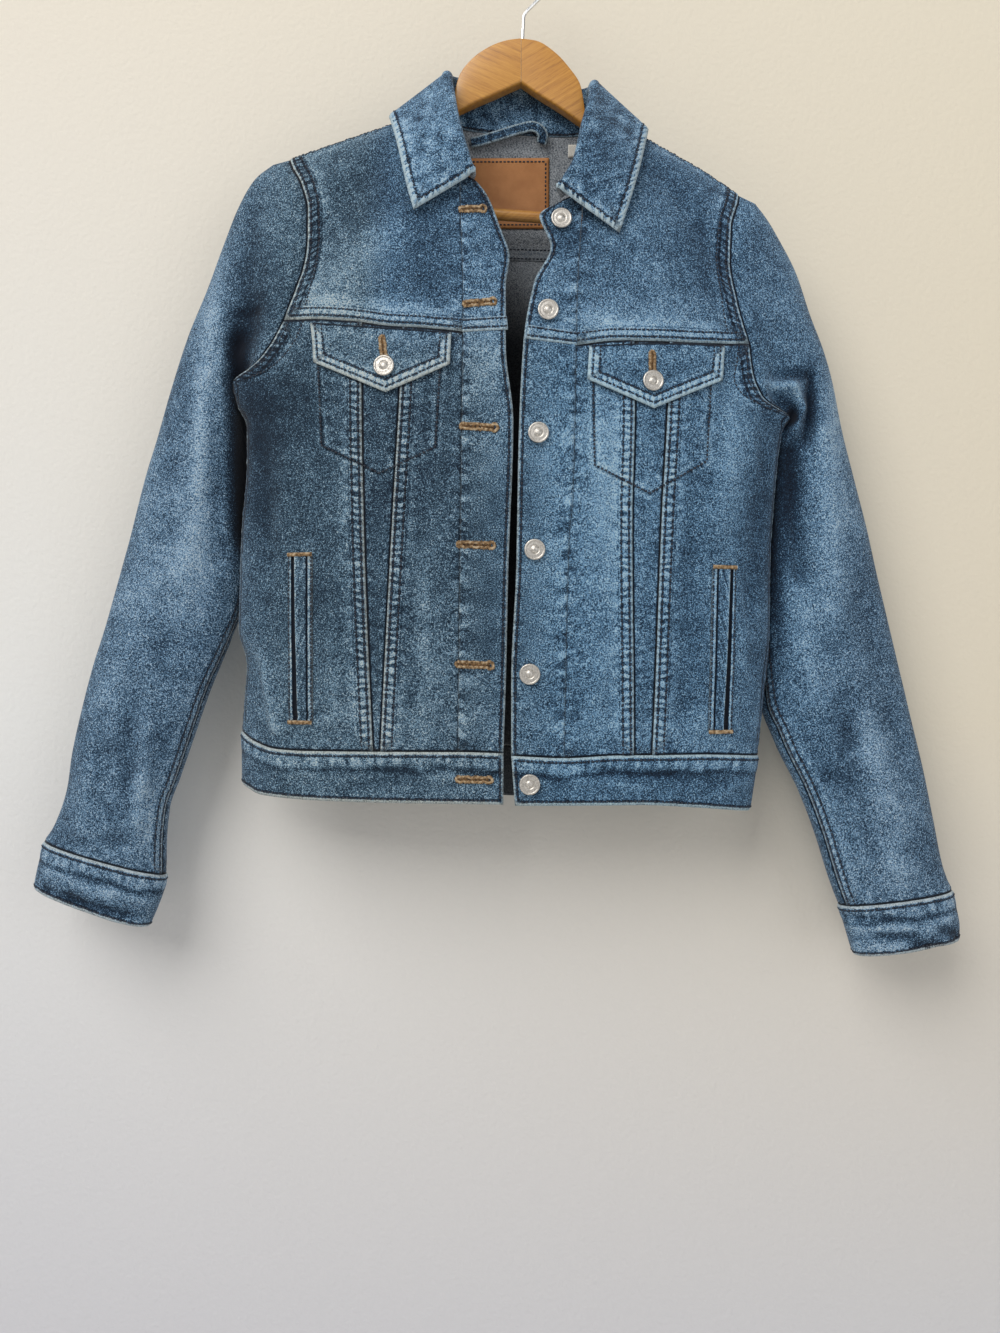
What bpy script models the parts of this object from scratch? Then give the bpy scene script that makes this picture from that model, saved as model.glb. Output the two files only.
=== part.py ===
"""A denim jacket on a wooden hanger, at its real size, built piece by piece as it is sewn.

Frame: X to the right of the front view, Y from front to back, Z up, in metres. The origin is the
inside top of the hanger's hook, where a rail carries it. Tables and helpers work in millimetres,
and "left" and "right" are those of the front view.

The body is one smooth form: at each point (x, z) of the front view the cloth stands a depth in
front of, or behind, the hanger's plane y = 0. Every body panel is a net of border curves drawn on
that form and given a wall, so the panels meet at their seams.
"""

import math

import bmesh
import bpy
import numpy as np
from mathutils import Matrix, Vector

MM = 0.001

# ---- Driving dimensions, in millimetres ---------------------------------------------------------

CLOTH = 1.6  # one layer of denim with its turnings
DOUBLE_CLOTH = 2.4  # waistband and cuffs, two layers
COLLAR_CLOTH = 1.8
SEAM_GAP = 0.3  # between sewn pieces
LAID_GAP = 0.8  # between a panel and what lies on it
COLLAR_ROLL = 4.4  # outer radius of the collar's roll
SIDE_POWER = 2.6  # how square the body's horizontal section is
RIDGE_POWER = 2.2  # how quickly the cloth falls away from the shoulder line
SHOULDER_FALL = {"front": 190.0, "back": 80.0}  # drop over which the cloth leaves the shoulder
SLEEVE_POWER = 2.3  # how square the sleeve's section is
FACE_SIGN = {"front": -1.0, "back": 1.0}
SIDE_SIGN = {"left": -1.0, "right": 1.0}

BUTTON_RADIUS = 8.5
BAR_RADIUS = 4.7
HANGER_HALF = 6.0
WIRE_RADIUS = 1.5
HOOK_RADIUS = 22.5  # inside radius of the hook


def table(names, *rows):
    """Rows of numbers as one array for each named column."""
    return dict(zip(names.split(), np.array(rows, float).T))


# The shoulder line, where front and back meet over the hanger.
RIDGE = table(
    "x z",
    (-260, -208), (-199, -182), (-115, -154), (-68, -140),
    (66, -147), (106, -167), (149, -191), (181, -212), (240, -262),
)
# The body's side edges. Above the underarm they run on inside the sleeves.
LEFT_SIDE = table(
    "z x",
    (-140, -264), (-200, -250), (-260, -236), (-320, -236), (-350, -241), (-373, -249),
    (-389, -245), (-410, -236), (-440, -236), (-490, -240), (-581, -243), (-611, -236),
    (-640, -238), (-667, -240), (-745, -240),
)
RIGHT_SIDE = table(
    "z x",
    (-140, 262), (-200, 246), (-260, 226), (-320, 216), (-371, 220), (-403, 226), (-412, 220),
    (-441, 215), (-523, 209), (-589, 208), (-660, 201), (-689, 198), (-745, 190),
)
# How far the cloth stands from the hanger's plane.
DEPTH = table(
    "z front back",
    (-140, 44, 24), (-250, 44, 24), (-330, 46, 25), (-450, 50, 24), (-600, 50, 25),
    (-690, 46, 24), (-745, 44, 23),
)
# Soft folds of the body: a ridge (or, with a negative height, a trough) along a straight line.
FRONT_FOLDS = table(
    "x0 z0 x1 z1 width height",
    (-107, -250, -165, -318, 15, 3.0),
    (-128, -200, -176, -275, 13, -2.6),
    (-70, -262, -72, -325, 11, -1.8),
    (114, -205, 160, -275, 14, -2.8),
    (80, -240, 110, -320, 18, 2.0),
    (180, -412, 156, -492, 16, 2.4),
    (200, -450, 186, -560, 9, -2.5),
    (-232, -600, -217, -660, 8, 2.2),
    (-222, -420, -212, -520, 10, -2.4),
    (-150, -500, -158, -640, 12, 1.8),
    (135, -520, 128, -650, 12, -2.0),
    (-85, -400, -88, -600, 12, -1.6),
    (62, -430, 60, -620, 11, 1.6),
)
BACK_FOLDS = table(
    "x0 z0 x1 z1 width height",
    (-150, -290, -175, -420, 16, 3.0),
    (-70, -330, -62, -560, 18, 2.6),
    (18, -300, 10, -600, 20, -2.6),
    (95, -340, 84, -580, 17, 2.8),
    (150, -290, 172, -430, 15, -2.8),
    (-115, -470, -128, -660, 14, -2.2),
    (-190, -430, -182, -600, 12, 2.4),
    (48, -480, 52, -660, 13, 2.0),
)

# Border curves in the front view, as (x, z).
ARMHOLE = {
    ("left", "front", "upper"): (
        (-199, -182), (-196, -191), (-186, -211), (-180, -235), (-180, -255), (-184, -285), (-199, -327)),
    ("left", "front", "lower"): ((-199, -327), (-211, -347), (-227, -363), (-249, -373)),
    ("left", "back", "upper"): ((-199, -182), (-193, -205), (-189, -232), (-190, -254)),
    ("left", "back", "lower"): ((-190, -254), (-194, -290), (-203, -325), (-222, -357), (-249, -373)),
    ("right", "front", "upper"): (
        (181, -212), (179, -221), (171, -248), (170, -277), (175, -312), (185, -346)),
    ("right", "front", "lower"): ((185, -346), (188, -371), (197, -391), (226, -403)),
    ("right", "back", "upper"): ((181, -212), (178, -232), (177, -262)),
    ("right", "back", "lower"): ((177, -262), (179, -305), (185, -348), (199, -384), (226, -403)),
}
NECKLINE = {
    "left": ((-68, -140), (-68, -168), (-64, -190), (-54, -206)),
    "right": ((66, -147), (66, -175), (60, -203), (48, -222)),
}
BACK_NECKLINE = (
    (-68, -140), (-66.8, -143), (-63, -147.5), (-50, -150.5), (-30, -152.5), (0, -154), (34, -156),
    (48, -155.5), (61, -153.5), (65, -150), (66, -147))
YOKE_SEAM = {
    "left": ((-199, -327), (-163, -330), (-140, -332), (-109, -337), (-78, -339), (-51, -342)),
    "right": ((185, -346), (161, -348), (129, -349), (78, -349), (41, -353)),
}
BACK_YOKE_SEAM = ((-190, -254), (-100, -251), (0, -253), (90, -257), (177, -262))
PLACKET_SEAM = {  # where the button band is stitched, above and below the yoke seam
    "left": (((-54, -206), (-53, -248), (-51, -310), (-51, -342)), ((-51, -342), (-53, -495), (-55, -682))),
    "right": (((48, -222), (45, -260), (42, -308), (41, -353)),
              ((41, -353), (38, -478), (35, -510), (31, -687))),
}
FRONT_EDGE = {
    "left": (
        (-40, -215), (-31, -228), (-20, -257), (-13, -280), (-16, -305), (-16, -354), (-10, -415),
        (-14, -534), (-16, -625), (-18, -683)),
    "right": (
        (26, -234), (11, -245), (20, -272), (7, -300), (-2, -349), (-6, -429), (-8, -534),
        (-12, -625), (-12, -685)),
}
V_SEAMS = {  # the two seams that run down from the pocket and close towards the waist
    "left": (((-133, -333), (-133, -387), (-131, -495), (-124, -682)),
             ((-100, -337), (-102, -391), (-108, -495), (-118, -682))),
    "right": (((117, -349), (115, -401), (110, -495), (103, -685)),
              ((88, -349), (88, -402), (86, -495), (88, -686))),
}
SIDE_SEAM = {
    "left": (
        (-249, -373), (-245, -389), (-236, -410), (-236, -440), (-240, -490), (-242, -535),
        (-243, -581), (-236, -611), (-238, -640), (-240, -667)),
    "right": (
        (226, -403), (220, -412), (215, -441), (212, -480), (209, -523), (208, -589),
        (204.5, -625), (201, -660), (198, -688)),
}
WAIST_SEAM = {
    "left": ((-240, -667), (-226, -675), (-205, -681), (-178, -682), (-55, -682), (-18, -683)),
    "right": ((198, -688), (170, -686), (141, -685), (76, -685), (31, -687), (-12, -685)),
    "back": ((-240, -667), (-150, -676), (0, -682), (110, -686), (198, -688)),
}
HEM = {
    "left": ((-240, -712), (-218, -720), (-162, -723), (-18, -725)),
    "right": ((191.5, -735), (140, -729), (91, -726), (-9, -726)),
    "back": ((-240, -712), (-150, -719), (0, -726), (110, -731), (191.5, -735)),
}
FLAP = {  # top corners, lower corners and point of each pocket flap, from the sleeve inwards
    "left": {"top": ((-175, -332.5), (-109, -339), (-60, -343)),
             "bottom": ((-172, -366), (-113, -392), (-61, -370))},
    "right": {"top": ((163, -350), (105, -351), (51, -354)),
              "bottom": ((160, -380), (103, -405), (49, -382))},
}
WELT = table("top bottom x_top x_bottom width", (-522, -658, -184, -184, 13), (-532, -666, 163, 160, 13))

# Sleeve sections, from the armhole down: the outer and inner point of each in the front view, the
# depth of its middle, its half depths, and how far it has turned from the armhole's own outline
# into a rounded oval.
SLEEVE = {
    "left": table(
        "ox oz ix iz y front back round",
        (-214, -186, -257, -371.5, 0, 16, 14, 0.12),
        (-229, -197, -262.5, -373, 1, 19, 16, 0.28),
        (-243, -218, -265, -379, 2, 22, 18, 0.46),
        (-254, -252, -263, -390, 3, 24, 20, 0.66),
        (-266, -290, -258, -404, 4, 26, 21, 0.84),
        (-284, -325, -254, -419, 4, 27, 22, 1.0),
        (-303, -370, -250, -438, 4, 28, 22, 1.0),
        (-316, -416, -247.5, -460, 4, 28, 22, 1.0),
        (-328, -457, -247.5, -484, 4, 28, 22, 1.0),
        (-338, -496, -249, -515, 4, 27, 22, 1.0),
        (-348, -535, -251, -556, 5, 26, 21, 1.0),
        (-359, -578, -259, -591, 5, 25, 21, 1.0),
        (-370, -616, -272, -634, 6, 25, 20, 1.0),
        (-379, -653, -283, -672, 6, 25, 20, 1.0),
        (-387, -688, -296, -709, 7, 24, 19, 1.0),
        (-391, -716, -305, -735, 7, 23, 19, 1.0),
        (-402, -747, -308, -771, 8, 22, 18, 1.0),
        (-411, -762, -308, -791, 8, 21, 18, 1.0),
    ),
    "right": table(
        "ox oz ix iz y front back round",
        (196, -219, 233, -401.5, 1, 16, 14, 0.12),
        (208, -230, 238.5, -402.5, 3, 19, 16, 0.28),
        (219, -246, 241, -407.5, 5, 22, 18, 0.46),
        (233, -275, 240, -416.5, 7, 24, 20, 0.66),
        (246, -310, 236, -428, 8, 26, 21, 0.84),
        (257, -337, 233, -440, 9, 27, 22, 1.0),
        (265, -364, 229, -454, 9, 27, 22, 1.0),
        (274, -408, 224, -472, 9, 27, 22, 1.0),
        (284, -449, 220, -492, 9, 27, 22, 1.0),
        (294, -487, 217.5, -517, 10, 26, 22, 1.0),
        (305, -535, 216, -550, 11, 26, 21, 1.0),
        (317, -585, 215, -602, 12, 25, 21, 1.0),
        (326, -624, 212.5, -642, 13, 24, 21, 1.0),
        (334, -661, 219, -677, 12, 24, 20, 1.0),
        (343, -704, 236, -719, 10, 24, 19, 1.0),
        (351, -746, 250, -756, 9, 23, 19, 1.0),
        (358, -782, 261, -792, 8, 22, 18, 1.0),
        (366, -804, 270, -817, 8, 21, 18, 1.0),
    ),
}
SLEEVE_FOLDS = {
    "left": table(
        "x0 z0 x1 z1 width height",
        (-256, -330, -286, -548, 12, 4.0),
        (-236, -240, -252, -310, 14, -2.8),
        (-296, -560, -312, -640, 11, -2.6),
        (-320, -640, -330, -720, 9, 2.6),
        (-345, -690, -352, -740, 9, -2.2),
    ),
    "right": table(
        "x0 z0 x1 z1 width height",
        (234, -374, 262, -404, 12, -2.6),
        (252, -420, 262, -560, 13, 3.6),
        (236, -430, 240, -520, 9, -3.2),
        (290, -560, 312, -680, 14, -2.4),
        (296, -690, 318, -780, 11, 2.6),
    ),
}
CUFF = {  # end sections of the cuff tubes
    "left": table(
        "ox oz ix iz y front back round",
        (-411, -762, -308, -791, 8, 21, 18, 1.0),
        (-414, -774, -310, -803, 8, 21.5, 18, 1.0),
        (-417.5, -789, -316, -820, 8, 22, 18, 1.0),
        (-420, -802, -323, -836, 8, 21, 17, 1.0),
    ),
    "right": table(
        "ox oz ix iz y front back round",
        (366, -804, 270, -817, 8, 21, 18, 1.0),
        (369, -817, 274, -829, 8, 21.5, 18, 1.0),
        (372, -832, 279, -846, 8, 22, 18, 1.0),
        (373, -846, 283, -860, 8, 21, 17, 1.0),
    ),
}
CUFF_RAISE = 0.6

# The collar, from its left front end round the neck to its right front end: a point of the neck
# seam, the top of the roll, and the outer edge.
COLLAR = table(
    "seam_x seam_y seam_z roll_x roll_y roll_z edge_x edge_y edge_z",
    (-41, -37.0, -214, -39, -46.5, -212, -91, -45.5, -243),
    (-54, -37.0, -203, -44, -46.5, -197, -97, -44.5, -222),
    (-63, -30.5, -180, -52, -40.0, -166, -104, -38.5, -191),
    (-65.5, -18.5, -156, -57.5, -25.0, -132, -110, -25.0, -167),
    (-65.2, -6.0, -141.0, -60.5, -9.0, -111, -115, -10.0, -149.5),
    (-64.6, 6.5, -140.5, -60.0, 6.5, -105, -111, 9.0, -149.5),
    (-56, 12.6, -147.5, -51, 14.0, -103, -88, 25.0, -161),
    (-28, 12.6, -152.2, -27, 16.0, -102, -47, 28.0, -168),
    (0, 12.6, -153.6, 0, 16.5, -104, 0, 29.5, -171),
    (30, 12.6, -155.3, 24, 16.0, -109, 47, 28.0, -175),
    (55, 12.6, -153.0, 43, 14.0, -113, 82, 25.0, -172),
    (63, 6.5, -147.2, 52, 6.5, -116, 101, 9.0, -160.5),
    (63.2, -6.0, -148.0, 53, -9.0, -120, 104.5, -10.0, -160.5),
    (63.6, -18.5, -164, 50, -25.0, -142, 100, -25.0, -180),
    (60, -31.0, -194, 43, -40.5, -172, 93, -39.0, -208),
    (48, -37.5, -218, 36, -47.0, -203, 84, -45.5, -238),
    (28, -39.5, -231, 22, -47.5, -226, 76, -46.0, -262),
)

BUTTONS = table("x z", (29, -249), (18, -325), (10, -425), (7, -519), (3, -619), (3, -708))
FLAP_BUTTONS = {"left": (-114, -371), "right": (102, -383)}

# Hanger arms as upright slices: place along X, top, bottom and corner radius.
HANGER = {
    "left": table(
        "x top bottom corner",
        (-3, -80, -118, 2.5), (-12, -81, -122, 2.5), (-23, -84, -127, 2.5), (-38, -92, -133.5, 2.5),
        (-49, -102, -138.5, 2.5), (-55, -110.5, -141.5, 3), (-58.5, -122, -143.5, 3),
        (-60.5, -138, -147.5, 3.5), (-64, -147.5, -157, 4), (-72, -150, -161, 5),
        (-90, -151.5, -166, 5.5), (-115, -157.2, -174.5, 6), (-160, -172.4, -194, 6),
        (-190, -187, -210, 6), (-206, -196, -221, 6), (-216, -203, -220, 6),
    ),
    "right": table(
        "x top bottom corner",
        (-3, -80, -118, 2.5), (10, -82, -127, 2.5), (26, -92, -137, 2.5), (38, -105, -145, 2.5),
        (47, -118.5, -151.5, 3), (49.5, -130, -153, 3), (52, -146, -156, 3.5),
        (56, -155, -165, 4), (66, -157, -170, 5), (84, -162, -177, 5.5),
        (106, -170.6, -190, 6), (149, -194.8, -216, 6), (178, -218, -238, 6),
        (191, -230, -251, 6), (202, -239, -251, 6),
    ),
}
BAR_MIDDLE = (-6, -229)
BAR_SLOPE = -0.073
HOOK_FOOT = (-1.6, -79.3)
HOOK_KINK = (-0.5, -57.0)
HOOK_ARC = (-45, 215)  # degrees round the hook's middle

NECK_PATCH = ((-49, -171), (22, -231))
LOOP_PATH = (
    (-45, 11.5, -160.7), (-40, 10.8, -160), (-24, 8.0, -157), (-2, 6.0, -152), (8, 5.5, -148), (15, 7.5, -152),
    (15.5, 11.0, -159), (15.5, 11.8, -164))
LOOP_WIDTH = 7.0
LABEL = ((38, -161), (47, -171))


# ---- Curves and nets ----------------------------------------------------------------------------


def smooth(xs, ys, x):
    """The value at x of a smooth curve through the points (xs, ys) that doesn't overshoot them."""
    if xs[0] > xs[-1]:
        xs, ys = xs[::-1], ys[::-1]
    steps = np.diff(xs)
    slopes = np.diff(ys) / steps
    turns = slopes[:-1] * slopes[1:]
    inner = np.where(turns > 0, 2 * turns / np.where(turns > 0, slopes[:-1] + slopes[1:], 1), 0)
    tangents = np.concatenate([slopes[:1], inner, slopes[-1:]])
    x = np.clip(x, xs[0], xs[-1])
    i = np.clip(np.searchsorted(xs, x) - 1, 0, len(steps) - 1)
    t = (x - xs[i]) / steps[i]
    rise = ys[i + 1] - ys[i]
    start, end = tangents[i] * steps[i], tangents[i + 1] * steps[i]
    return ys[i] + t * start + t**2 * (3 * rise - 2 * start - end) + t**3 * (start + end - 2 * rise)


def path(points, levels):
    """Points at the given fractions of the way along a smooth curve through `points`."""
    points = np.array(points, float)
    reach = np.concatenate([[0], np.cumsum(np.linalg.norm(np.diff(points, axis=0), axis=1))])
    return np.stack([smooth(reach, column, np.asarray(levels) * reach[-1]) for column in points.T], -1)


def straight(points, levels):
    """Points at the given fractions along the straight lines that join `points`."""
    points = np.array(points, float)
    reach = np.concatenate([[0], np.cumsum(np.linalg.norm(np.diff(points, axis=0), axis=1))])
    return np.stack([np.interp(np.asarray(levels) * reach[-1], reach, column) for column in points.T], -1)


def even(count):
    return np.linspace(0, 1, count)


def chain(*parts):
    """Curves end to end as one, each shared point once."""
    return np.vstack([parts[0], *(part[1:] for part in parts[1:])])


def unit(vectors):
    return vectors / np.maximum(np.linalg.norm(vectors, axis=-1, keepdims=True), 1e-9)


def fractions(points):
    reach = np.concatenate([[0], np.cumsum(np.linalg.norm(np.diff(points, axis=0), axis=1))])
    return reach / reach[-1]


def net(top, bottom, left, right):
    """A grid that fills four border curves. Rows run from top to bottom, columns from left to right."""
    u = ((fractions(top) + fractions(bottom)) / 2)[None, :, None]
    v = ((fractions(left) + fractions(right)) / 2)[:, None, None]
    across = (1 - u) * left[:, None] + u * right[:, None]
    down = (1 - v) * top[None] + v * bottom[None]
    corners = (
        (1 - u) * (1 - v) * top[0] + u * (1 - v) * top[-1] + (1 - u) * v * bottom[0] + u * v * bottom[-1]
    )
    return across + down - corners


def grid_normals(points, wrap=False):
    """Unit normals of a grid, which face one way. With `wrap` the columns close into a ring."""
    along = np.gradient(points, axis=0)
    if wrap:
        around = (np.roll(points, -1, axis=1) - np.roll(points, 1, axis=1)) / 2
    else:
        around = np.gradient(points, axis=1)
    return unit(np.cross(along, around))


def folds(rows, x, z):
    """The height at (x, z) of the ridges and troughs in a table of folds."""
    height = np.zeros(np.shape(x))
    for x0, z0, x1, z1, width, rise in zip(*rows.values()):
        length = math.hypot(x1 - x0, z1 - z0)
        dx, dz = (x1 - x0) / length, (z1 - z0) / length
        along = (x - x0) * dx + (z - z0) * dz
        beside = (x - x0) * dz - (z - z0) * dx
        beyond = along - np.clip(along, 0, length)
        height += rise * np.exp(-((beside / width) ** 2) - (beyond / (1.6 * width)) ** 2)
    return height


# ---- The body's form ----------------------------------------------------------------------------


def squared_depth(x, z, face):
    """The square of the cloth's distance from the hanger's plane. It is zero on the border of the form."""
    below = (np.interp(x, RIDGE["x"], RIDGE["z"]) - z) / SHOULDER_FALL[face]
    over_shoulder = 1 - np.clip(1 - below, 0, None) ** RIDGE_POWER
    left = smooth(LEFT_SIDE["z"], LEFT_SIDE["x"], z)
    right = smooth(RIGHT_SIDE["z"], RIGHT_SIDE["x"], z)
    across = np.abs(x - (left + right) / 2) / ((right - left) / 2)
    return smooth(DEPTH["z"], DEPTH[face], z) ** 2 * over_shoulder * (1 - across**SIDE_POWER)


def body(points, face):
    """(points, normals) of the cloth's outer side at the front-view points (x, z)."""
    x, z = points[..., 0], points[..., 1]
    square = squared_depth(x, z, face)
    y = FACE_SIGN[face] * np.sqrt(np.clip(square, 0, None))
    step = 0.3
    slope_x = (squared_depth(x + step, z, face) - squared_depth(x - step, z, face)) / (2 * step)
    slope_z = (squared_depth(x, z + step, face) - squared_depth(x, z - step, face)) / (2 * step)
    normals = unit(np.stack([-slope_x, 2 * y, -slope_z], -1))
    rows = FRONT_FOLDS if face == "front" else BACK_FOLDS
    fade = np.clip(square / 700, 0, 1)
    raised = folds(rows, x, z) * fade
    return np.stack([x, y, z], -1) + normals * raised[..., None], normals


# ---- Making objects -----------------------------------------------------------------------------


for old in list(bpy.data.objects):
    bpy.data.objects.remove(old)
jacket = bpy.data.collections.new("denim_jacket")
bpy.context.scene.collection.children.link(jacket)


def material(name, colour, roughness, metallic=0.0):
    made = bpy.data.materials.new(name)
    made.use_nodes = True
    shader = made.node_tree.nodes["Principled BSDF"]
    shader.inputs["Base Color"].default_value = (*colour, 1.0)
    shader.inputs["Roughness"].default_value = roughness
    shader.inputs["Metallic"].default_value = metallic
    return made


DENIM = material("denim", (0.09, 0.17, 0.31), 0.9)
WASHED_DENIM = material("washed_denim", (0.14, 0.24, 0.40), 0.9)
WOOD = material("hanger_wood", (0.64, 0.30, 0.08), 0.45)
STEEL = material("hook_steel", (0.55, 0.54, 0.52), 0.35, 1.0)
NICKEL = material("button_nickel", (0.60, 0.56, 0.50), 0.4, 1.0)
LEATHER = material("patch_leather", (0.43, 0.16, 0.04), 0.6)
TAPE = material("label_tape", (0.75, 0.73, 0.66), 0.8)


def add(name, mesh, finish):
    made = bpy.data.objects.new(name, mesh)
    mesh.materials.append(finish)
    jacket.objects.link(made)
    return made


def mesh_of(name, vertices, faces):
    made = bpy.data.meshes.new(name)
    made.from_pydata((np.asarray(vertices) * MM).tolist(), [], faces)
    made.shade_smooth()
    made.set_sharp_from_angle(angle=math.radians(40))
    return made


def inward(border, beside):
    """Unit steps from a border line towards the line beside it, square to the border."""
    along = unit(np.gradient(border, axis=0))
    step = beside - border
    return unit(step - (step * along).sum(-1, keepdims=True) * along)


def drawn_in(points, amount, wrap=False):
    """The grid with its border moved in by `amount`."""
    moved = points.copy()
    moved[0] += amount * inward(points[0], points[1])
    moved[-1] += amount * inward(points[-1], points[-2])
    if not wrap:
        moved[:, 0] += amount * inward(points[:, 0], points[:, 1])
        moved[:, -1] += amount * inward(points[:, -1], points[:, -2])
    return moved


def wall(name, points, normals, thickness, finish, wrap=False):
    """A cloth wall: `points` is its outer side, and the inner one lies `thickness` behind it."""
    rows, columns = points.shape[:2]
    outer = drawn_in(points, SEAM_GAP / 2, wrap)
    inner = outer - thickness * normals
    facing = (grid_normals(points, wrap) * normals).sum(-1).mean() > 0
    count = rows * columns
    quads = []

    def quad(a, b, c, d):
        quads.append((a, b, c, d) if facing else (d, c, b, a))

    for i in range(rows - 1):
        for j in range(columns if wrap else columns - 1):
            a, b = i * columns + j, i * columns + (j + 1) % columns
            c, d = b + columns, a + columns
            quad(a, d, c, b)
            quad(a + count, b + count, c + count, d + count)
    for j in range(columns if wrap else columns - 1):
        a, b = j, (j + 1) % columns
        quad(a, b, b + count, a + count)
        a, b = a + (rows - 1) * columns, b + (rows - 1) * columns
        quad(b, a, a + count, b + count)
    if not wrap:
        for i in range(rows - 1):
            a, b = i * columns, (i + 1) * columns
            quad(b, a, a + count, b + count)
            a, b = a + columns - 1, b + columns - 1
            quad(a, b, b + count, a + count)
    vertices = np.vstack([outer.reshape(-1, 3), inner.reshape(-1, 3)])
    return add(name, mesh_of(name, vertices, quads), finish)


def laid_on(name, points, face, thickness, finish):
    """A flat piece that lies on the outside of the body, made from the body's own points."""
    surface, normals = body(points, face)
    return wall(name, surface + normals * (LAID_GAP + thickness), normals, thickness, finish)


def tube(name, rings, finish):
    """A closed skin through rings of points, with a flat face on each end."""
    count = len(rings[0])
    faces = [tuple(range(count)), tuple(range(len(rings) * count - 1, (len(rings) - 1) * count - 1, -1))]
    for i in range(len(rings) - 1):
        for j in range(count):
            a, b = i * count + j, i * count + (j + 1) % count
            faces.append((a, a + count, b + count, b))
    made = mesh_of(name, np.vstack(rings), faces)
    shape = bmesh.new()
    shape.from_mesh(made)
    bmesh.ops.recalc_face_normals(shape, faces=shape.faces)
    shape.to_mesh(made)
    shape.free()
    return add(name, made, finish)


# ---- Borders that neighbouring panels share -----------------------------------------------------

# Shares of the way along each border. They crowd near the shoulder line and the side edge, where
# the cloth turns over.
UPPER_LEVELS = even(8) ** 1.8
NECK_LEVELS = (0, 0.055, 0.2, 0.5, 1)
LOWER_LEVELS = even(5)
BACK_UPPER_LEVELS = even(6) ** 2
BACK_LOWER_LEVELS = even(6)
SIDE_LEVELS = even(9)
LOWER_PANELS = {"side_front": even(8) ** 1.6, "v_panel": even(3), "centre_front": even(4)}
BACK_LEVELS = (1 - np.cos(math.pi * even(21))) / 2
SHOULDER_LEVELS = even(7)

armholes = {}
for side in ("left", "right"):
    armholes[side] = {
        ("front", "upper"): path(ARMHOLE[side, "front", "upper"], UPPER_LEVELS),
        ("front", "lower"): path(ARMHOLE[side, "front", "lower"], LOWER_LEVELS),
        ("back", "upper"): path(ARMHOLE[side, "back", "upper"], BACK_UPPER_LEVELS),
        ("back", "lower"): path(ARMHOLE[side, "back", "lower"], BACK_LOWER_LEVELS),
    }
side_seams = {side: path(SIDE_SEAM[side], SIDE_LEVELS) for side in ("left", "right")}
shoulder_ends = {side: np.array((ARMHOLE[side, "front", "upper"][0], NECKLINE[side][0])) for side in side_seams}


def shoulder_line(side, levels):
    """Points of the shoulder seam from the sleeve to the neck."""
    start, end = shoulder_ends[side][:, 0]
    x = start + (end - start) * np.asarray(levels)
    return np.stack([x, np.interp(x, RIDGE["x"], RIDGE["z"])], -1)


# ---- Sleeves and cuffs --------------------------------------------------------------------------


def armhole_ring(side):
    """(points, normals) round the armhole: down its front from the shoulder, then up its back."""
    borders = armholes[side]
    front = body(chain(borders["front", "upper"], borders["front", "lower"]), "front")
    back = body(chain(borders["back", "upper"], borders["back", "lower"])[::-1], "back")
    return [np.vstack([a, b[1:-1]]) for a, b in zip(front, back)]


def sleeve_rings(side, sections, start, folded=True):
    """Rings from the armhole's outline `start`, turning section by section into flattened ovals."""
    lowest = int(np.argmin(start[:, 2]))
    top, bottom = start[0], start[lowest]
    chord = bottom - top
    length = math.hypot(chord[0], chord[2])
    down = chord / length
    beside = np.array((-down[2], 0.0, down[0]))
    reach = fractions(np.vstack([start, start[:1]]))[:-1]
    half = reach[lowest]
    angle = np.where(reach <= half, math.pi * reach / half, math.pi * (1 + (reach - half) / (1 - half)))
    along_start = (start - top) @ down / length
    beside_start = (start - top) @ beside
    depth_start = start[:, 1]
    power = 2 / SLEEVE_POWER
    along_oval = (1 - np.sign(np.cos(angle)) * np.abs(np.cos(angle)) ** power) / 2
    swell = np.sign(np.sin(angle)) * np.abs(np.sin(angle)) ** power
    rings = []
    for ox, oz, ix, iz, y, front, back, turned in zip(*sections.values()):
        outer, inner = np.array((ox, 0.0, oz)), np.array((ix, 0.0, iz))
        run = (inner - outer) / np.linalg.norm(inner - outer)
        across = np.array((-run[2], 0.0, run[0]))
        along = (1 - turned) * along_start + turned * along_oval
        depth = y - np.where(swell > 0, front, back) * swell
        ring = outer + along[:, None] * (inner - outer)
        ring = ring + ((1 - turned) * beside_start)[:, None] * across
        ring[:, 1] = (1 - turned) * depth_start + turned * depth
        if folded:
            raised = folds(SLEEVE_FOLDS[side], ring[:, 0], ring[:, 2]) * np.clip(swell, 0, 1)
            ring[:, 1] -= raised
        rings.append(ring)
    return np.array(rings)


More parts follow.
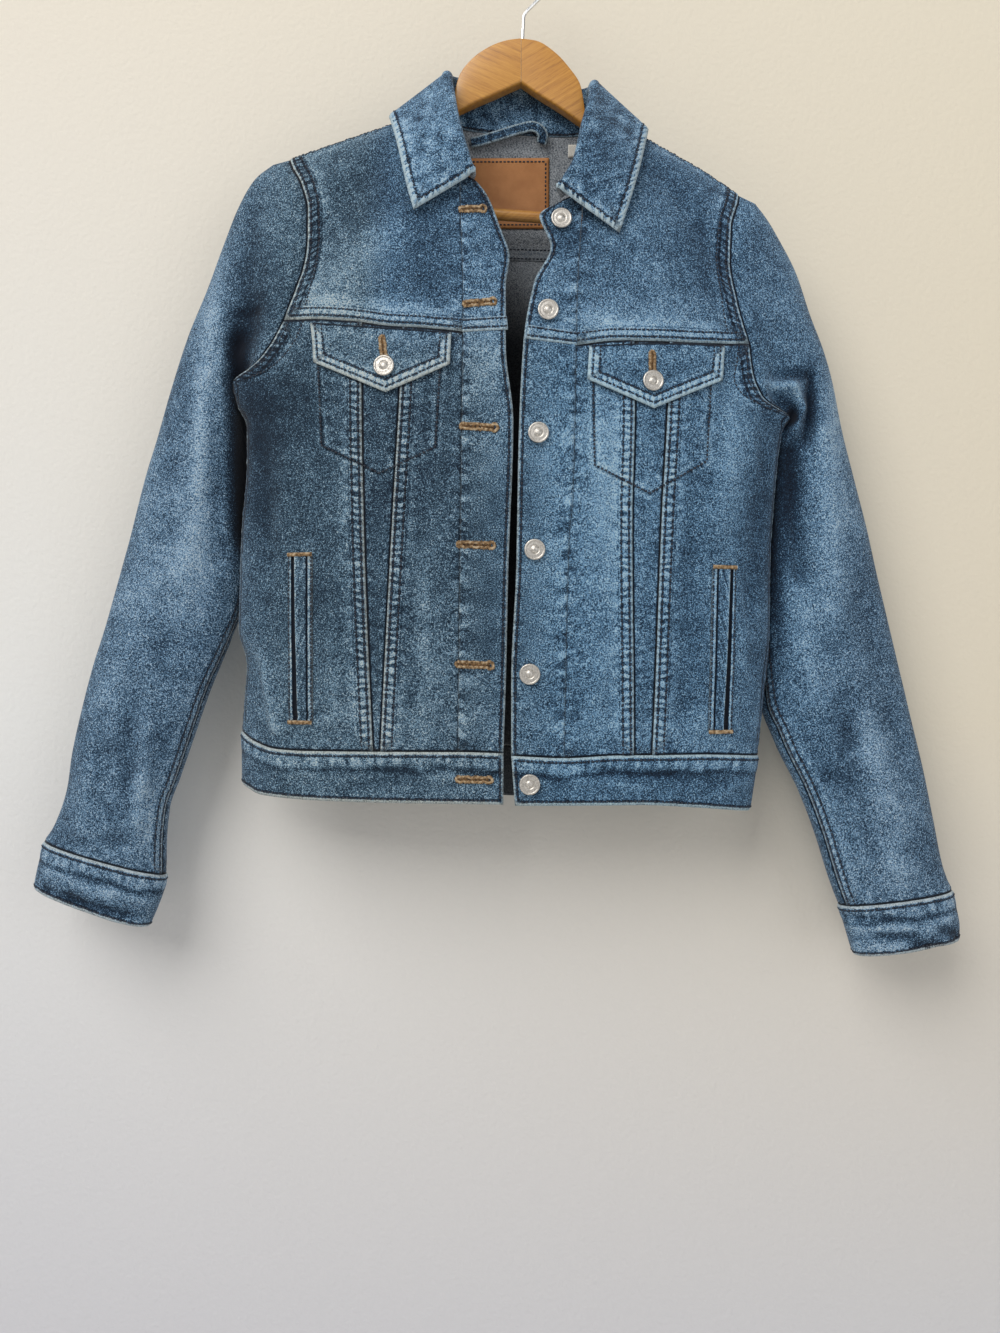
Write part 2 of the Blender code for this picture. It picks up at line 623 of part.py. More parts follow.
# Columns of the rings where the two sleeve pieces meet: at the inner edge, and
# half way up the back.
SLEEVE_SEAMS = (11, 15)
joints = {}
for side in ("left", "right"):
    opening, opening_normals = armhole_ring(side)
    rings = np.concatenate([opening[None], sleeve_rings(side, SLEEVE[side], opening)])
    normals = grid_normals(rings, wrap=True)
    centre = rings.mean(axis=1, keepdims=True)
    if ((rings - centre) * normals).sum(-1).mean() < 0:
        normals = -normals
    normals[0] = unit(normals[0] + opening_normals)
    joints[side] = normals[0]
    first, second = SLEEVE_SEAMS
    count = rings.shape[1]
    under = np.arange(first, second + 1)
    over = np.arange(second, count + first + 1) % count
    for name, columns in (("sleeve_top", over), ("sleeve_under", under)):
        wall(f"{name}_{side}", rings[:, columns], normals[:, columns], CLOTH, DENIM)

    cuff = sleeve_rings(side, CUFF[side], opening, folded=False)
    cuff[0] = rings[-1] + (cuff[1] - cuff[0]) * 0.02
    cuff_normals = grid_normals(cuff, wrap=True)
    if ((cuff - cuff.mean(axis=1, keepdims=True)) * cuff_normals).sum(-1).mean() < 0:
        cuff_normals = -cuff_normals
    wall(f"cuff_{side}", cuff + CUFF_RAISE * cuff_normals, cuff_normals, DOUBLE_CLOTH, WASHED_DENIM, wrap=True)


# ---- Front panels -------------------------------------------------------------------------------

UPPER_ROWS = len(UPPER_LEVELS)
LOWER_ROWS = len(LOWER_LEVELS) + len(SIDE_LEVELS) - 1
PLACKET_LEVELS = even(4)
waists = {}


def height_at(curve, x):
    """The height at x of a curve that runs across the body."""
    dense = path(curve, even(200))
    order = np.argsort(dense[:, 0])
    return np.interp(x, dense[order, 0], dense[order, 1])


def part_of(curve, start, end, levels):
    """The stretch of a curve between two values of x, at the given fractions of that stretch."""
    x = start + (end - start) * np.asarray(levels)
    return np.stack([x, height_at(curve, x)], -1)


def body_wall(name, points, face, finish, joint=()):
    """A body panel. `joint` gives the normals that its first column shares with the sleeve."""
    surface, normals = body(points, face)
    if len(joint):
        normals[: len(joint), 0] = joint
    wall(name, surface, normals, CLOTH, finish)


for side in ("left", "right"):
    armhole, joint = armholes[side], joints[side]
    upright = [
        chain(armhole["front", "lower"], side_seams[side]),
        *(path(curve, even(LOWER_ROWS)) for curve in V_SEAMS[side]),
        path(PLACKET_SEAM[side][1], even(LOWER_ROWS)),
    ]
    for line in upright[1:]:
        line[0, 1] = height_at(YOKE_SEAM[side], line[0, 0])
        line[-1, 1] = height_at(WAIST_SEAM[side], line[-1, 0])
    tops, bottoms = [], []
    for (name, levels), outer, inner in zip(LOWER_PANELS.items(), upright, upright[1:]):
        tops.append(part_of(YOKE_SEAM[side], outer[0, 0], inner[0, 0], levels))
        bottoms.append(part_of(WAIST_SEAM[side], outer[-1, 0], inner[-1, 0], levels))
        shared = joint[UPPER_ROWS - 1 :][: len(LOWER_LEVELS)] if name == "side_front" else ()
        body_wall(f"{name}_{side}", net(tops[-1], bottoms[-1], outer, inner), "front", DENIM, shared)

    yoke_bottom = chain(*tops)
    below_neck = path(PLACKET_SEAM[side][0], even(UPPER_ROWS - len(NECK_LEVELS) + 1))
    inner_border = chain(path(NECKLINE[side], NECK_LEVELS), below_neck)
    shoulder = shoulder_line(side, fractions(yoke_bottom))
    yoke = net(shoulder, yoke_bottom, armhole["front", "upper"], inner_border)
    body_wall(f"front_yoke_{side}", yoke, "front", DENIM, joint[:UPPER_ROWS])

    seam = chain(path(PLACKET_SEAM[side][0], even(2 * len(below_neck) - 1)), upright[-1])
    edge = path(FRONT_EDGE[side], fractions(seam))
    top = straight((seam[0], edge[0]), PLACKET_LEVELS)
    bottoms.append(part_of(WAIST_SEAM[side], seam[-1, 0], edge[-1, 0], PLACKET_LEVELS))
    body_wall(f"placket_{side}", net(top, bottoms[-1], seam, edge), "front", WASHED_DENIM)
    waists[side] = chain(*bottoms)


# ---- Back panels --------------------------------------------------------------------------------


def back_wall(name, points, shared):
    surface, normals = body(points, "back")
    for side, column in (("left", 0), ("right", -1)):
        rows = shared[side]
        normals[: len(rows), column] = rows
    wall(name, surface, normals, CLOTH, DENIM)


back_neck = path(BACK_NECKLINE, (0, 0.035, 0.1, 0.3, 0.5, 0.7, 0.9, 0.965, 1))
shoulders = [shoulder_line(side, SHOULDER_LEVELS) for side in ("left", "right")]
back_top = chain(shoulders[0], back_neck, shoulders[1][::-1])
back_sides = {side: chain(armholes[side]["back", "lower"], side_seams[side]) for side in side_seams}
back_seam = path(BACK_YOKE_SEAM, BACK_LEVELS)
waists["back"] = path(WAIST_SEAM["back"], BACK_LEVELS)
upward = {side: joints[side][::-1] for side in joints}  # the ring again, from the shoulder down the back
upper_shared = {s: np.vstack([joints[s][:1], upward[s][: len(BACK_UPPER_LEVELS) - 1]]) for s in joints}
first_lower = len(BACK_UPPER_LEVELS) - 2
lower_shared = {s: upward[s][first_lower : first_lower + len(BACK_LOWER_LEVELS)] for s in joints}
yoke = net(back_top, back_seam, armholes["left"]["back", "upper"], armholes["right"]["back", "upper"])
back_wall("back_yoke", yoke, upper_shared)
back_wall("back_panel", net(back_seam, waists["back"], back_sides["left"], back_sides["right"]), lower_shared)


# ---- Waistband ----------------------------------------------------------------------------------

BAND_RAISE = 0.6
BAND_ROWS = 3


def band_part(key, face):
    """(points, normals) of the waistband over one stretch, from the waist seam down to the hem."""
    top = waists[key]
    bottom = path(HEM[key], fractions(top))
    share = even(BAND_ROWS)[:, None, None]
    return body((1 - share) * top + share * bottom, face)


stretches = [
    [grid[:, ::-1] for grid in band_part("left", "front")],
    [grid[:, 1:-1] for grid in band_part("back", "back")],
    band_part("right", "front"),
]
band, band_normals = (np.concatenate(parts, axis=1) for parts in zip(*stretches))
wall("waistband", band + BAND_RAISE * band_normals, band_normals, DOUBLE_CLOTH, WASHED_DENIM)


# ---- Collar -------------------------------------------------------------------------------------


def collar_section(seam, roll, edge):
    """Points from the neck seam up the stand, round the roll and down the fall to the outer edge."""
    up = unit(roll - seam)
    out = unit((edge - seam) - up * np.dot(edge - seam, up))
    before = roll - COLLAR_ROLL * up
    middle = before + COLLAR_ROLL * out
    turn = [
        middle + COLLAR_ROLL * (math.sin(angle) * up - math.cos(angle) * out)
        for angle in np.linspace(0, math.pi, 5)
    ]
    fall = [turn[-1] + share * (edge - turn[-1]) for share in (0.33, 0.67, 1.0)]
    return np.array([seam, (seam + before) / 2, *turn, *fall])


stations = np.stack(list(COLLAR.values()), -1)
stations = path(stations, even(29))
collar = np.array([collar_section(*row.reshape(3, 3)) for row in stations])
collar_normals = grid_normals(collar)
neck_middle = np.array((-2.0, -8.0, -160.0))
stand = collar[:, 1]
if ((neck_middle - stand) * collar_normals[:, 1]).sum(-1).mean() < 0:
    collar_normals = -collar_normals
wall("collar", collar, collar_normals, COLLAR_CLOTH, WASHED_DENIM)


# ---- Pocket flaps and welts ---------------------------------------------------------------------

for side in ("left", "right"):
    levels = (0, 0.17, 0.34, 0.51, 0.67, 0.84, 1)
    top = path(FLAP[side]["top"], levels)
    point = fractions(np.array(FLAP[side]["bottom"], float))[1]
    bottom = straight(FLAP[side]["bottom"], np.interp(levels, (0, 0.51, 1), (0, point, 1)))
    ends = [straight((top[i], bottom[i]), even(4)) for i in (0, -1)]
    laid_on(f"flap_{side}", net(top, bottom, *ends), "front", CLOTH, WASHED_DENIM)

for side, (top_z, bottom_z, x_top, x_bottom, width) in zip(("left", "right"), zip(*WELT.values())):
    borders = [
        straight(((x_top + shift, top_z), (x_bottom + shift, bottom_z)), even(7))
        for shift in (-width / 2, width / 2)
    ]
    ends = [straight((borders[0][i], borders[1][i]), even(3)) for i in (0, -1)]
    laid_on(f"welt_{side}", net(*ends, *borders), "front", CLOTH, WASHED_DENIM)


# ---- Buttons ------------------------------------------------------------------------------------


def button(name, place, direction):
    """A turned metal button: domed middle, sunken ring, raised rim and a short shank behind."""
    profile = (
        (0, 3.3), (3.0, 2.9), (4.2, 2.4), (6.3, 2.3), (7.3, 3.0), (8.5, 2.4), (8.3, 1.5), (4.4, 1.2),
        (4.4, 0), (0, 0))
    mesh = bpy.data.meshes.new(name)
    scale = BUTTON_RADIUS / 8.5 * MM
    line = [(i, i + 1) for i in range(len(profile) - 1)]
    mesh.from_pydata([(r * scale, 0, h * scale) for r, h in profile], line, [])
    made = add(name, mesh, NICKEL)
    turned = made.modifiers.new("turned", "SCREW")
    turned.steps = turned.render_steps = 12
    turned.use_merge_vertices = True
    turned.merge_threshold = 0.00001
    turned.use_smooth_shade = True
    turn = Vector(direction).to_track_quat("Z", "Y").to_matrix().to_4x4()
    made.matrix_world = Matrix.Translation(Vector(place) * MM) @ turn
    return made


for number, (x, z) in enumerate(zip(BUTTONS["x"], BUTTONS["z"]), 1):
    on_band = number == len(BUTTONS["x"])
    point, normal = body(np.array((x, z)), "front")
    button(f"button_{number}", point + normal * (0.45 + (BAND_RAISE if on_band else 0)), normal)
for side, (x, z) in FLAP_BUTTONS.items():
    point, normal = body(np.array((x, z)), "front")
    button(f"flap_button_{side}", point + normal * (LAID_GAP + CLOTH + 0.45), normal)


# ---- Hanger -------------------------------------------------------------------------------------


def arm_ring(x, top, bottom, corner):
    """One upright slice of a hanger arm: a rounded rectangle."""
    corner = min(corner, (top - bottom) / 2 - 0.2, HANGER_HALF - 0.2)
    points = []
    for y, z, start in (
        (HANGER_HALF - corner, top - corner, 0),
        (-HANGER_HALF + corner, top - corner, 90),
        (-HANGER_HALF + corner, bottom + corner, 180),
        (HANGER_HALF - corner, bottom + corner, 270),
    ):
        for angle in np.radians(start + np.array((0, 45, 90))):
            points.append((x, y + corner * math.cos(angle), z + corner * math.sin(angle)))
    return np.array(points)


for side, slices in HANGER.items():
    mitre = SIDE_SIGN[side] * SEAM_GAP / 2
    rings = [arm_ring(x + (mitre if i == 0 else 0), top, bottom, corner)
             for i, (x, top, bottom, corner) in enumerate(zip(*slices.values()))]
    tube(f"hanger_arm_{side}", rings, WOOD)


def bar_height(x):
    return BAR_MIDDLE[1] + BAR_SLOPE * (x - BAR_MIDDLE[0])


def bar_end(side):
    """Where the bar's upper edge meets the underside of an arm."""
    slices = HANGER[side]
    x = SIDE_SIGN[side] * np.linspace(100, 200, 401)
    order = np.argsort(slices["x"])
    under = np.interp(x, slices["x"][order], slices["bottom"][order])
    clear = under > bar_height(x) + BAR_RADIUS + 0.4
    return x[clear][-1]


bar_ends = [Vector((bar_end(side), 0, bar_height(bar_end(side)))) for side in ("left", "right")]
bar_line = bar_ends[1] - bar_ends[0]
bpy.ops.mesh.primitive_cylinder_add(vertices=16, radius=BAR_RADIUS * MM, depth=bar_line.length * MM)
bar = bpy.context.object
bar.name = bar.data.name = "hanger_bar"
bar_turn = bar_line.to_track_quat("Z", "Y").to_matrix().to_4x4()
bar.matrix_world = Matrix.Translation((bar_ends[0] + bar_ends[1]) / 2 * MM) @ bar_turn
for holder in list(bar.users_collection):
    holder.objects.unlink(bar)
jacket.objects.link(bar)
bar.data.materials.append(WOOD)


def wire(name, points, radius, finish):
    """A round wire along a line of points."""
    curve = bpy.data.curves.new(name, "CURVE")
    curve.dimensions = "3D"
    curve.bevel_depth = radius * MM
    curve.bevel_resolution = 2
    curve.use_fill_caps = True
    spline = curve.splines.new("POLY")
    spline.points.add(len(points) - 1)
    for place, (x, y, z) in zip(spline.points, points):
        place.co = (x * MM, y * MM, z * MM, 1)
    made = bpy.data.objects.new(name, curve)
    curve.materials.append(finish)
    jacket.objects.link(made)
    return made


hook_middle = -HOOK_RADIUS
reach = HOOK_RADIUS + WIRE_RADIUS
arc = [
    (reach * math.cos(angle), 0, hook_middle + reach * math.sin(angle))
    for angle in np.radians(np.linspace(*HOOK_ARC, 22))
]
near_kink = [(HOOK_KINK[0] + dx, 0, HOOK_KINK[1] + dz) for dx, dz in ((-0.2, -3.0), (0.5, -0.4), (2.4, 2.4))]
wire("hanger_hook", [(HOOK_FOOT[0], 0, HOOK_FOOT[1]), *near_kink, *arc], WIRE_RADIUS, STEEL)


# ---- Inside the neck ----------------------------------------------------------------------------

PATCH_CLOTH = 1.3
(x0, z0), (x1, z1) = NECK_PATCH
corners = [straight(((xa, za), (xb, zb)), even(5)) for xa, za, xb, zb in (
    (x0, z0, x1, z0), (x0, z1, x1, z1), (x0, z0, x0, z1), (x1, z0, x1, z1))]
surface, normals = body(net(*corners), "back")
wall("neck_patch", surface - normals * (CLOTH + 0.5 + PATCH_CLOTH), -normals, PATCH_CLOTH, LEATHER)

strip = path(LOOP_PATH, even(13))
ribbon = np.stack([strip + (0, 0, LOOP_WIDTH / 2), strip - (0, 0, LOOP_WIDTH / 2)])
ribbon_normals = grid_normals(ribbon)
if ribbon_normals[0, 0, 1] > 0:
    ribbon_normals = -ribbon_normals
wall("hanger_loop", ribbon, ribbon_normals, 1.2, WASHED_DENIM)

(x0, z0), (x1, z1) = LABEL
corners = [straight(((xa, za), (xb, zb)), even(3)) for xa, za, xb, zb in (
    (x0, z0, x1, z0), (x0, z1, x1, z1), (x0, z0, x0, z1), (x1, z0, x1, z1))]
surface, normals = body(net(*corners), "back")
wall("label", surface - normals * (CLOTH + 0.5 + 0.8), -normals, 0.8, TAPE)
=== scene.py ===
"""A denim jacket on a wooden hanger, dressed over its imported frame.

Frame: X to the right of the front view, Y from front to back, Z up, in metres, with the origin at the
inside top of the hanger's hook. Tables and shapes are worked out in millimetres and put into the
meshes in metres. "Left" and "right" are those of the front view.
"""

import math

import bpy
import numpy as np
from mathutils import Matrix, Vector


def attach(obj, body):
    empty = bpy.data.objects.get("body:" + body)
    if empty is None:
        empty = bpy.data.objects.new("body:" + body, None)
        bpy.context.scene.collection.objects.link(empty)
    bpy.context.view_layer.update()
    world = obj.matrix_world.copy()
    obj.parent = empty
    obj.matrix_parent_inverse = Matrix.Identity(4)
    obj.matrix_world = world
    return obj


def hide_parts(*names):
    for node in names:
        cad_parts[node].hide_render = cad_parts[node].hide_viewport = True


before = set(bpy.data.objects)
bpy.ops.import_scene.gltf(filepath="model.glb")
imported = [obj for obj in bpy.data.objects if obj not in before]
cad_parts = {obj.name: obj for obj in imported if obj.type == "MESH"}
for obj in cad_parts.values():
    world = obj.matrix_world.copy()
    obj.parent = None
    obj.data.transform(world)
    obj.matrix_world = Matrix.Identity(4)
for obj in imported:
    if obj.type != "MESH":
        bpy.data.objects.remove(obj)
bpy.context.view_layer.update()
scene = bpy.context.scene

# ---- Camera, wall, floor and light --------------------------------------------------------------
# A level camera in front of the jacket, a pale painted wall close behind it, a pale floor below,
# and soft window-like light from the upper left. The wall is open from behind.

MM = 0.001
CAMERA_PLACE = (-0.0209, -0.895, -0.6129)
CAMERA_LENS = 28.36  # mm, on Blender's usual sensor
WALL_DEPTH, WALL_TOP, WALL_HALF = 0.062, 3.0, 4.0
FLOOR_HEIGHT, FLOOR_HALF = -1.75, 5.0
ROOM_COLOUR, ROOM_STRENGTH = (0.93, 0.95, 1.0, 1), 0.44
LIT_POINT = (0, 0, -0.45)
LIGHTS = (  # name, place, size, power and colour
    ("window_light", (-1.6, -2.4, 1.8), 2.6, 118, (1.0, 0.985, 0.96)),
    ("fill_light", (2.2, -2.6, -0.2), 2.2, 18, (0.96, 0.98, 1.0)),
    ("back_light", (0.6, 2.4, 0.6), 2.0, 30, (1.0, 1.0, 1.0)),
)

scene.view_settings.view_transform = "Standard"
camera_data = bpy.data.cameras.new("camera")
camera_data.lens = CAMERA_LENS
camera = bpy.data.objects.new("camera", camera_data)
camera.location = CAMERA_PLACE
camera.rotation_euler = (math.pi / 2, 0, 0)
scene.collection.objects.link(camera)
scene.camera = camera


def new_material(name, roughness, specular, metallic=0.0):
    """A new material, its node tree and its Principled shader."""
    made = bpy.data.materials.new(name)
    made.use_nodes = True
    shader = made.node_tree.nodes["Principled BSDF"]
    shader.inputs["Roughness"].default_value = roughness
    shader.inputs["Specular IOR Level"].default_value = specular
    shader.inputs["Metallic"].default_value = metallic
    return made, made.node_tree, shader


def add_node(tree, kind, settings=None, **inputs):
    """A node of the given kind. `settings` are its attributes. An input is a value or a socket to join,
    and is named by its label, or by i and its number."""
    node = tree.nodes.new(kind)
    for key, value in (settings or {}).items():
        setattr(node, key, value)
    for key, value in inputs.items():
        numbered = key[0] == "i" and key[1:].isdigit()
        socket = node.inputs[int(key[1:]) if numbered else key.replace("_", " ")]
        if isinstance(value, bpy.types.NodeSocket):
            tree.links.new(value, socket)
        else:
            socket.default_value = value
    return node


def sums(tree, operation, first, second=0.0, third=0.0, clamp=False):
    """The output of a Math node."""
    settings = {"operation": operation, "use_clamp": clamp}
    return add_node(tree, "ShaderNodeMath", settings, i0=first, i1=second, i2=third).outputs[0]


def ramp(tree, value, stops):
    """A colour ramp through (place, colour) stops; a colour may be one grey number."""
    node = add_node(tree, "ShaderNodeValToRGB", None, i0=value)
    elements = node.color_ramp.elements
    while len(elements) < len(stops):
        elements.new(0.5)
    for element, (place, colour) in zip(elements, stops):
        element.position = place
        element.color = (colour,) * 3 + (1,) if isinstance(colour, (int, float)) else (*colour, 1)
    return node.outputs["Color"]


def own_place(tree):
    """The object's own coordinates, in metres."""
    return add_node(tree, "ShaderNodeTexCoord").outputs["Object"]


def parted(tree, vector):
    """The X, Y and Z of a vector."""
    return add_node(tree, "ShaderNodeSeparateXYZ", None, i0=vector).outputs


def noise(tree, vector, scale, detail, roughness=0.5, stretch=(1, 1, 1)):
    """Noise on a vector that is first stretched; a larger factor makes finer grain that way."""
    mapped = add_node(tree, "ShaderNodeVectorMath", {"operation": "MULTIPLY"}, i0=vector, i1=stretch).outputs[0]
    settings = {"Vector": mapped, "Scale": scale, "Detail": detail, "Roughness": roughness}
    return add_node(tree, "ShaderNodeTexNoise", None, **settings).outputs["Fac"]


def mix(tree, share, first, second):
    """A colour between two others."""
    return add_node(tree, "ShaderNodeMix", {"data_type": "RGBA"}, i0=share, i6=first, i7=second).outputs[2]


def add_bump(tree, shader, height, strength, distance):
    """Relief on a shader by a height."""
    bump = add_node(tree, "ShaderNodeBump", None, Strength=strength, Distance=distance, Height=height)
    tree.links.new(bump.outputs[0], shader.inputs["Normal"])


def flat_board(name, corners, material):
    """A four-cornered board of the room, which is no part of the product."""
    mesh = bpy.data.meshes.new(name)
    mesh.from_pydata(corners, [], [(0, 1, 2, 3)])
    mesh.materials.append(material)
    board = bpy.data.objects.new(name, mesh)
    scene.collection.objects.link(board)
    return board


wall_paint, tree, shader = new_material("wall_paint", 0.85, 0.15)
place = own_place(tree)
x, _, z = parted(tree, place)
# Painted light: the wall's colour is darker towards the bottom and, at mid height, warmer and darker towards the
# right. This is a painted fall-off of the window light from the upper left.
share = sums(tree, "MULTIPLY_ADD", z, 0.80, 0.98)
cool = ramp(tree, share, [(0.0, (0.56, 0.555, 0.576)), (0.45, (0.684, 0.679, 0.66)), (1.0, (0.66, 0.61, 0.523))])
warm = ramp(tree, share, [(0.0, (0.567, 0.559, 0.564)), (0.45, (0.655, 0.590, 0.472)), (1.0, (0.685, 0.622, 0.50))])
tone = mix(tree, sums(tree, "MULTIPLY_ADD", x, 1.1, 0.5, clamp=True), cool, warm)
tree.links.new(tone, shader.inputs["Base Color"])
add_bump(tree, shader, noise(tree, place, 230, 3), 0.6, 0.0008)
behind = add_node(tree, "ShaderNodeNewGeometry").outputs["Backfacing"]
clear = add_node(tree, "ShaderNodeBsdfTransparent").outputs[0]
mixed = add_node(tree, "ShaderNodeMixShader", None, i0=behind, i1=shader.outputs[0], i2=clear)
tree.links.new(mixed.outputs[0], tree.nodes["Material Output"].inputs["Surface"])
floor_paint, tree, shader = new_material("floor_paint", 0.8, 0.2)
shader.inputs["Base Color"].default_value = (0.72, 0.71, 0.69, 1)
SQUARE = np.array([(-1, -1), (1, -1), (1, 1), (-1, 1)])
middle, half = (WALL_TOP + FLOOR_HEIGHT) / 2, (WALL_TOP - FLOOR_HEIGHT) / 2
wall = flat_board("wall", [(x * WALL_HALF, WALL_DEPTH, middle + z * half) for x, z in SQUARE], wall_paint)
wall.visible_shadow = False
flat_board("floor", [(x * FLOOR_HALF, y * FLOOR_HALF, FLOOR_HEIGHT) for x, y in SQUARE], floor_paint)

world = bpy.data.worlds.new("room_light")
world.use_nodes = True
background = world.node_tree.nodes["Background"].inputs
background["Color"].default_value = ROOM_COLOUR
background["Strength"].default_value = ROOM_STRENGTH
scene.world = world
for name, place, size, power, colour in LIGHTS:
    lamp = bpy.data.lights.new(name, "AREA")
    lamp.size, lamp.energy, lamp.color = size, power, colour
    holder = bpy.data.objects.new(name, lamp)
    holder.location = place
    holder.rotation_euler = (Vector(LIT_POINT) - Vector(place)).to_track_quat("-Z", "Y").to_euler()
    scene.collection.objects.link(holder)

# ---- Back: yoke and panel -----------------------------------------------------------------------
# Washed indigo denim, a warp-faced twill. The yoke is sewn to the panel with a felled seam of two
# stitch rows. The body is one smooth form round the hanger's plane y = 0, and every panel is a net
# that fills four border curves drawn on it.

CLOTH = 1.6  # one layer of denim with its turnings
FOLD_FADE = 700.0  # folds fade out where the square of the form's depth is under this
SEAM_GAP = 0.3
SIDE_POWER = 2.6
RIDGE_POWER = 2.2
SHOULDER_FALL = {"front": 190.0, "back": 80.0}
FACE_SIGN = {"front": -1.0, "back": 1.0}
SIDES = ("left", "right")


def table(names, *rows):
    """Rows of numbers as one array for each named column."""
    return dict(zip(names.split(), np.array(rows, float).T))


RIDGE = table(
    "x z",
    (-260, -208), (-199, -182), (-115, -154), (-68, -140), (66, -147), (106, -167), (149, -191), (181, -212),
    (240, -262),
)
LEFT_SIDE = table(
    "z x",
    (-140, -264), (-200, -250), (-260, -236), (-320, -236), (-350, -241), (-373, -249), (-389, -245),
    (-410, -236), (-440, -236), (-490, -240), (-581, -243), (-611, -236), (-640, -238), (-667, -240),
    (-745, -240),
)
RIGHT_SIDE = table(
    "z x",
    (-140, 262), (-200, 246), (-260, 226), (-320, 216), (-371, 220), (-403, 226), (-412, 220), (-441, 215),
    (-523, 209), (-589, 208), (-660, 201), (-689, 198), (-745, 190),
)
DEPTH = table(
    "z front back",
    (-140, 44, 24), (-250, 44, 24), (-330, 46, 25), (-450, 50, 24), (-600, 50, 25), (-690, 46, 24),
    (-745, 44, 23),
)
# Soft folds: a ridge, or with a negative height a trough, along a straight line.
FRONT_FOLDS = table(
    "x0 z0 x1 z1 width height",
    (-107, -250, -165, -318, 15, 3.0), (-128, -200, -176, -275, 13, -2.6), (-70, -262, -72, -325, 11, -1.8),
    (114, -205, 160, -275, 14, -2.8), (80, -240, 110, -320, 18, 2.0), (180, -412, 156, -492, 16, 2.4),
    (200, -450, 186, -560, 9, -2.5), (-220, -604, -207, -660, 5, 2.8), (-222, -420, -212, -520, 10, -2.4),
    (-150, -500, -158, -640, 12, 1.8), (135, -520, 128, -650, 12, -2.0), (-85, -400, -88, -600, 12, -1.6),
    (62, -430, 60, -620, 11, 1.6),
)
BACK_FOLDS = table(
    "x0 z0 x1 z1 width height",
    (-150, -290, -175, -420, 16, 3.0), (-70, -330, -62, -560, 18, 2.6), (18, -300, 10, -600, 20, -2.6),
    (95, -340, 84, -580, 17, 2.8), (150, -290, 172, -430, 15, -2.8), (-115, -470, -128, -660, 14, -2.2),
    (-190, -430, -182, -600, 12, 2.4), (48, -480, 52, -660, 13, 2.0),
)
# Smaller creases of the same kind, which only the dressed cloth has.
FRONT_CREASES = table(
    "x0 z0 x1 z1 width height",
    (-182, -300, -150, -322, 6, 0.9), (-96, -300, -70, -322, 6, -0.8), (-160, -232, -150, -262, 5, 0.7),
    (150, -300, 166, -335, 6, -0.9), (84, -296, 70, -330, 6, 0.8), (120, -262, 128, -292, 5, -0.7),
    (-214, -560, -206, -640, 5, -0.9), (-196, -440, -202, -505, 6, 0.8), (186, -420, 196, -468, 5, 0.9),
    (178, -560, 186, -640, 6, 0.8), (190, -600, 178, -670, 5, -0.8), (-92, -470, -84, -560, 5, 0.6),
    (-78, -580, -94, -655, 6, -0.7), (52, -500, 62, -590, 5, -0.6), (66, -600, 50, -668, 6, 0.7),
    (-219, -606, -207, -664, 2.5, 1.2), (-202, -663, -150, -655, 3.5, 1.2), (-196, -655, -160, -649, 3, -1.3),
    (142, -650, 170, -676, 5, 0.7),
)
BACK_CREASES = table(
    "x0 z0 x1 z1 width height",
    (-196, -300, -150, -352, 7, 1.1), (160, -300, 118, -350, 7, -1.0), (-40, -610, -60, -668, 6, 0.9),
    (120, -590, 136, -664, 7, 0.9), (-160, -560, -150, -650, 6, -0.9), (30, -200, 36, -238, 8, 0.6),
    (-110, -196, -124, -240, 8, -0.7), (200, -470, 190, -560, 6, 0.9), (-222, -480, -216, -580, 6, -0.9),
)

ARMHOLE = {
    ("left", "front", "upper"): (
        (-199, -182), (-196, -191), (-186, -211), (-180, -235), (-180, -255), (-184, -285), (-199, -327)),
    ("left", "front", "lower"): ((-199, -327), (-211, -347), (-227, -363), (-249, -373)),
    ("left", "back", "upper"): ((-199, -182), (-193, -205), (-189, -232), (-190, -254)),
    ("left", "back", "lower"): ((-190, -254), (-194, -290), (-203, -325), (-222, -357), (-249, -373)),
    ("right", "front", "upper"): (
        (181, -212), (179, -221), (171, -248), (170, -277), (175, -312), (185, -346)),
    ("right", "front", "lower"): ((185, -346), (188, -371), (197, -391), (226, -403)),
    ("right", "back", "upper"): ((181, -212), (178, -232), (177, -262)),
    ("right", "back", "lower"): ((177, -262), (179, -305), (185, -348), (199, -384), (226, -403)),
}
NECKLINE = {
    "left": ((-68, -140), (-68, -168), (-64, -190), (-54, -206)),
    "right": ((66, -147), (66, -175), (60, -203), (48, -222)),
}
BACK_NECKLINE = (
    (-68, -140), (-66.8, -143), (-63, -147.5), (-50, -150.5), (-30, -152.5), (0, -154), (34, -156),
    (48, -155.5), (61, -153.5), (65, -150), (66, -147))
BACK_YOKE_SEAM = ((-190, -254), (-100, -251), (0, -253), (90, -257), (177, -262))
SIDE_SEAM = {
    "left": (
        (-249, -373), (-245, -389), (-236, -410), (-236, -440), (-240, -490), (-242, -535),
        (-243, -581), (-236, -611), (-238, -640), (-240, -667)),
    "right": (
        (226, -403), (220, -412), (215, -441), (212, -480), (209, -523), (208, -589),
        (204.5, -625), (201, -660), (198, -688)),
}
WAIST_SEAM = {
    "left": ((-240, -667), (-226, -675), (-205, -681), (-178, -682), (-55, -682), (-18, -683)),
    "right": ((198, -688), (170, -686), (141, -685), (76, -685), (31, -687), (-12, -685)),
    "back": ((-240, -667), (-150, -676), (0, -682), (110, -686), (198, -688)),
}


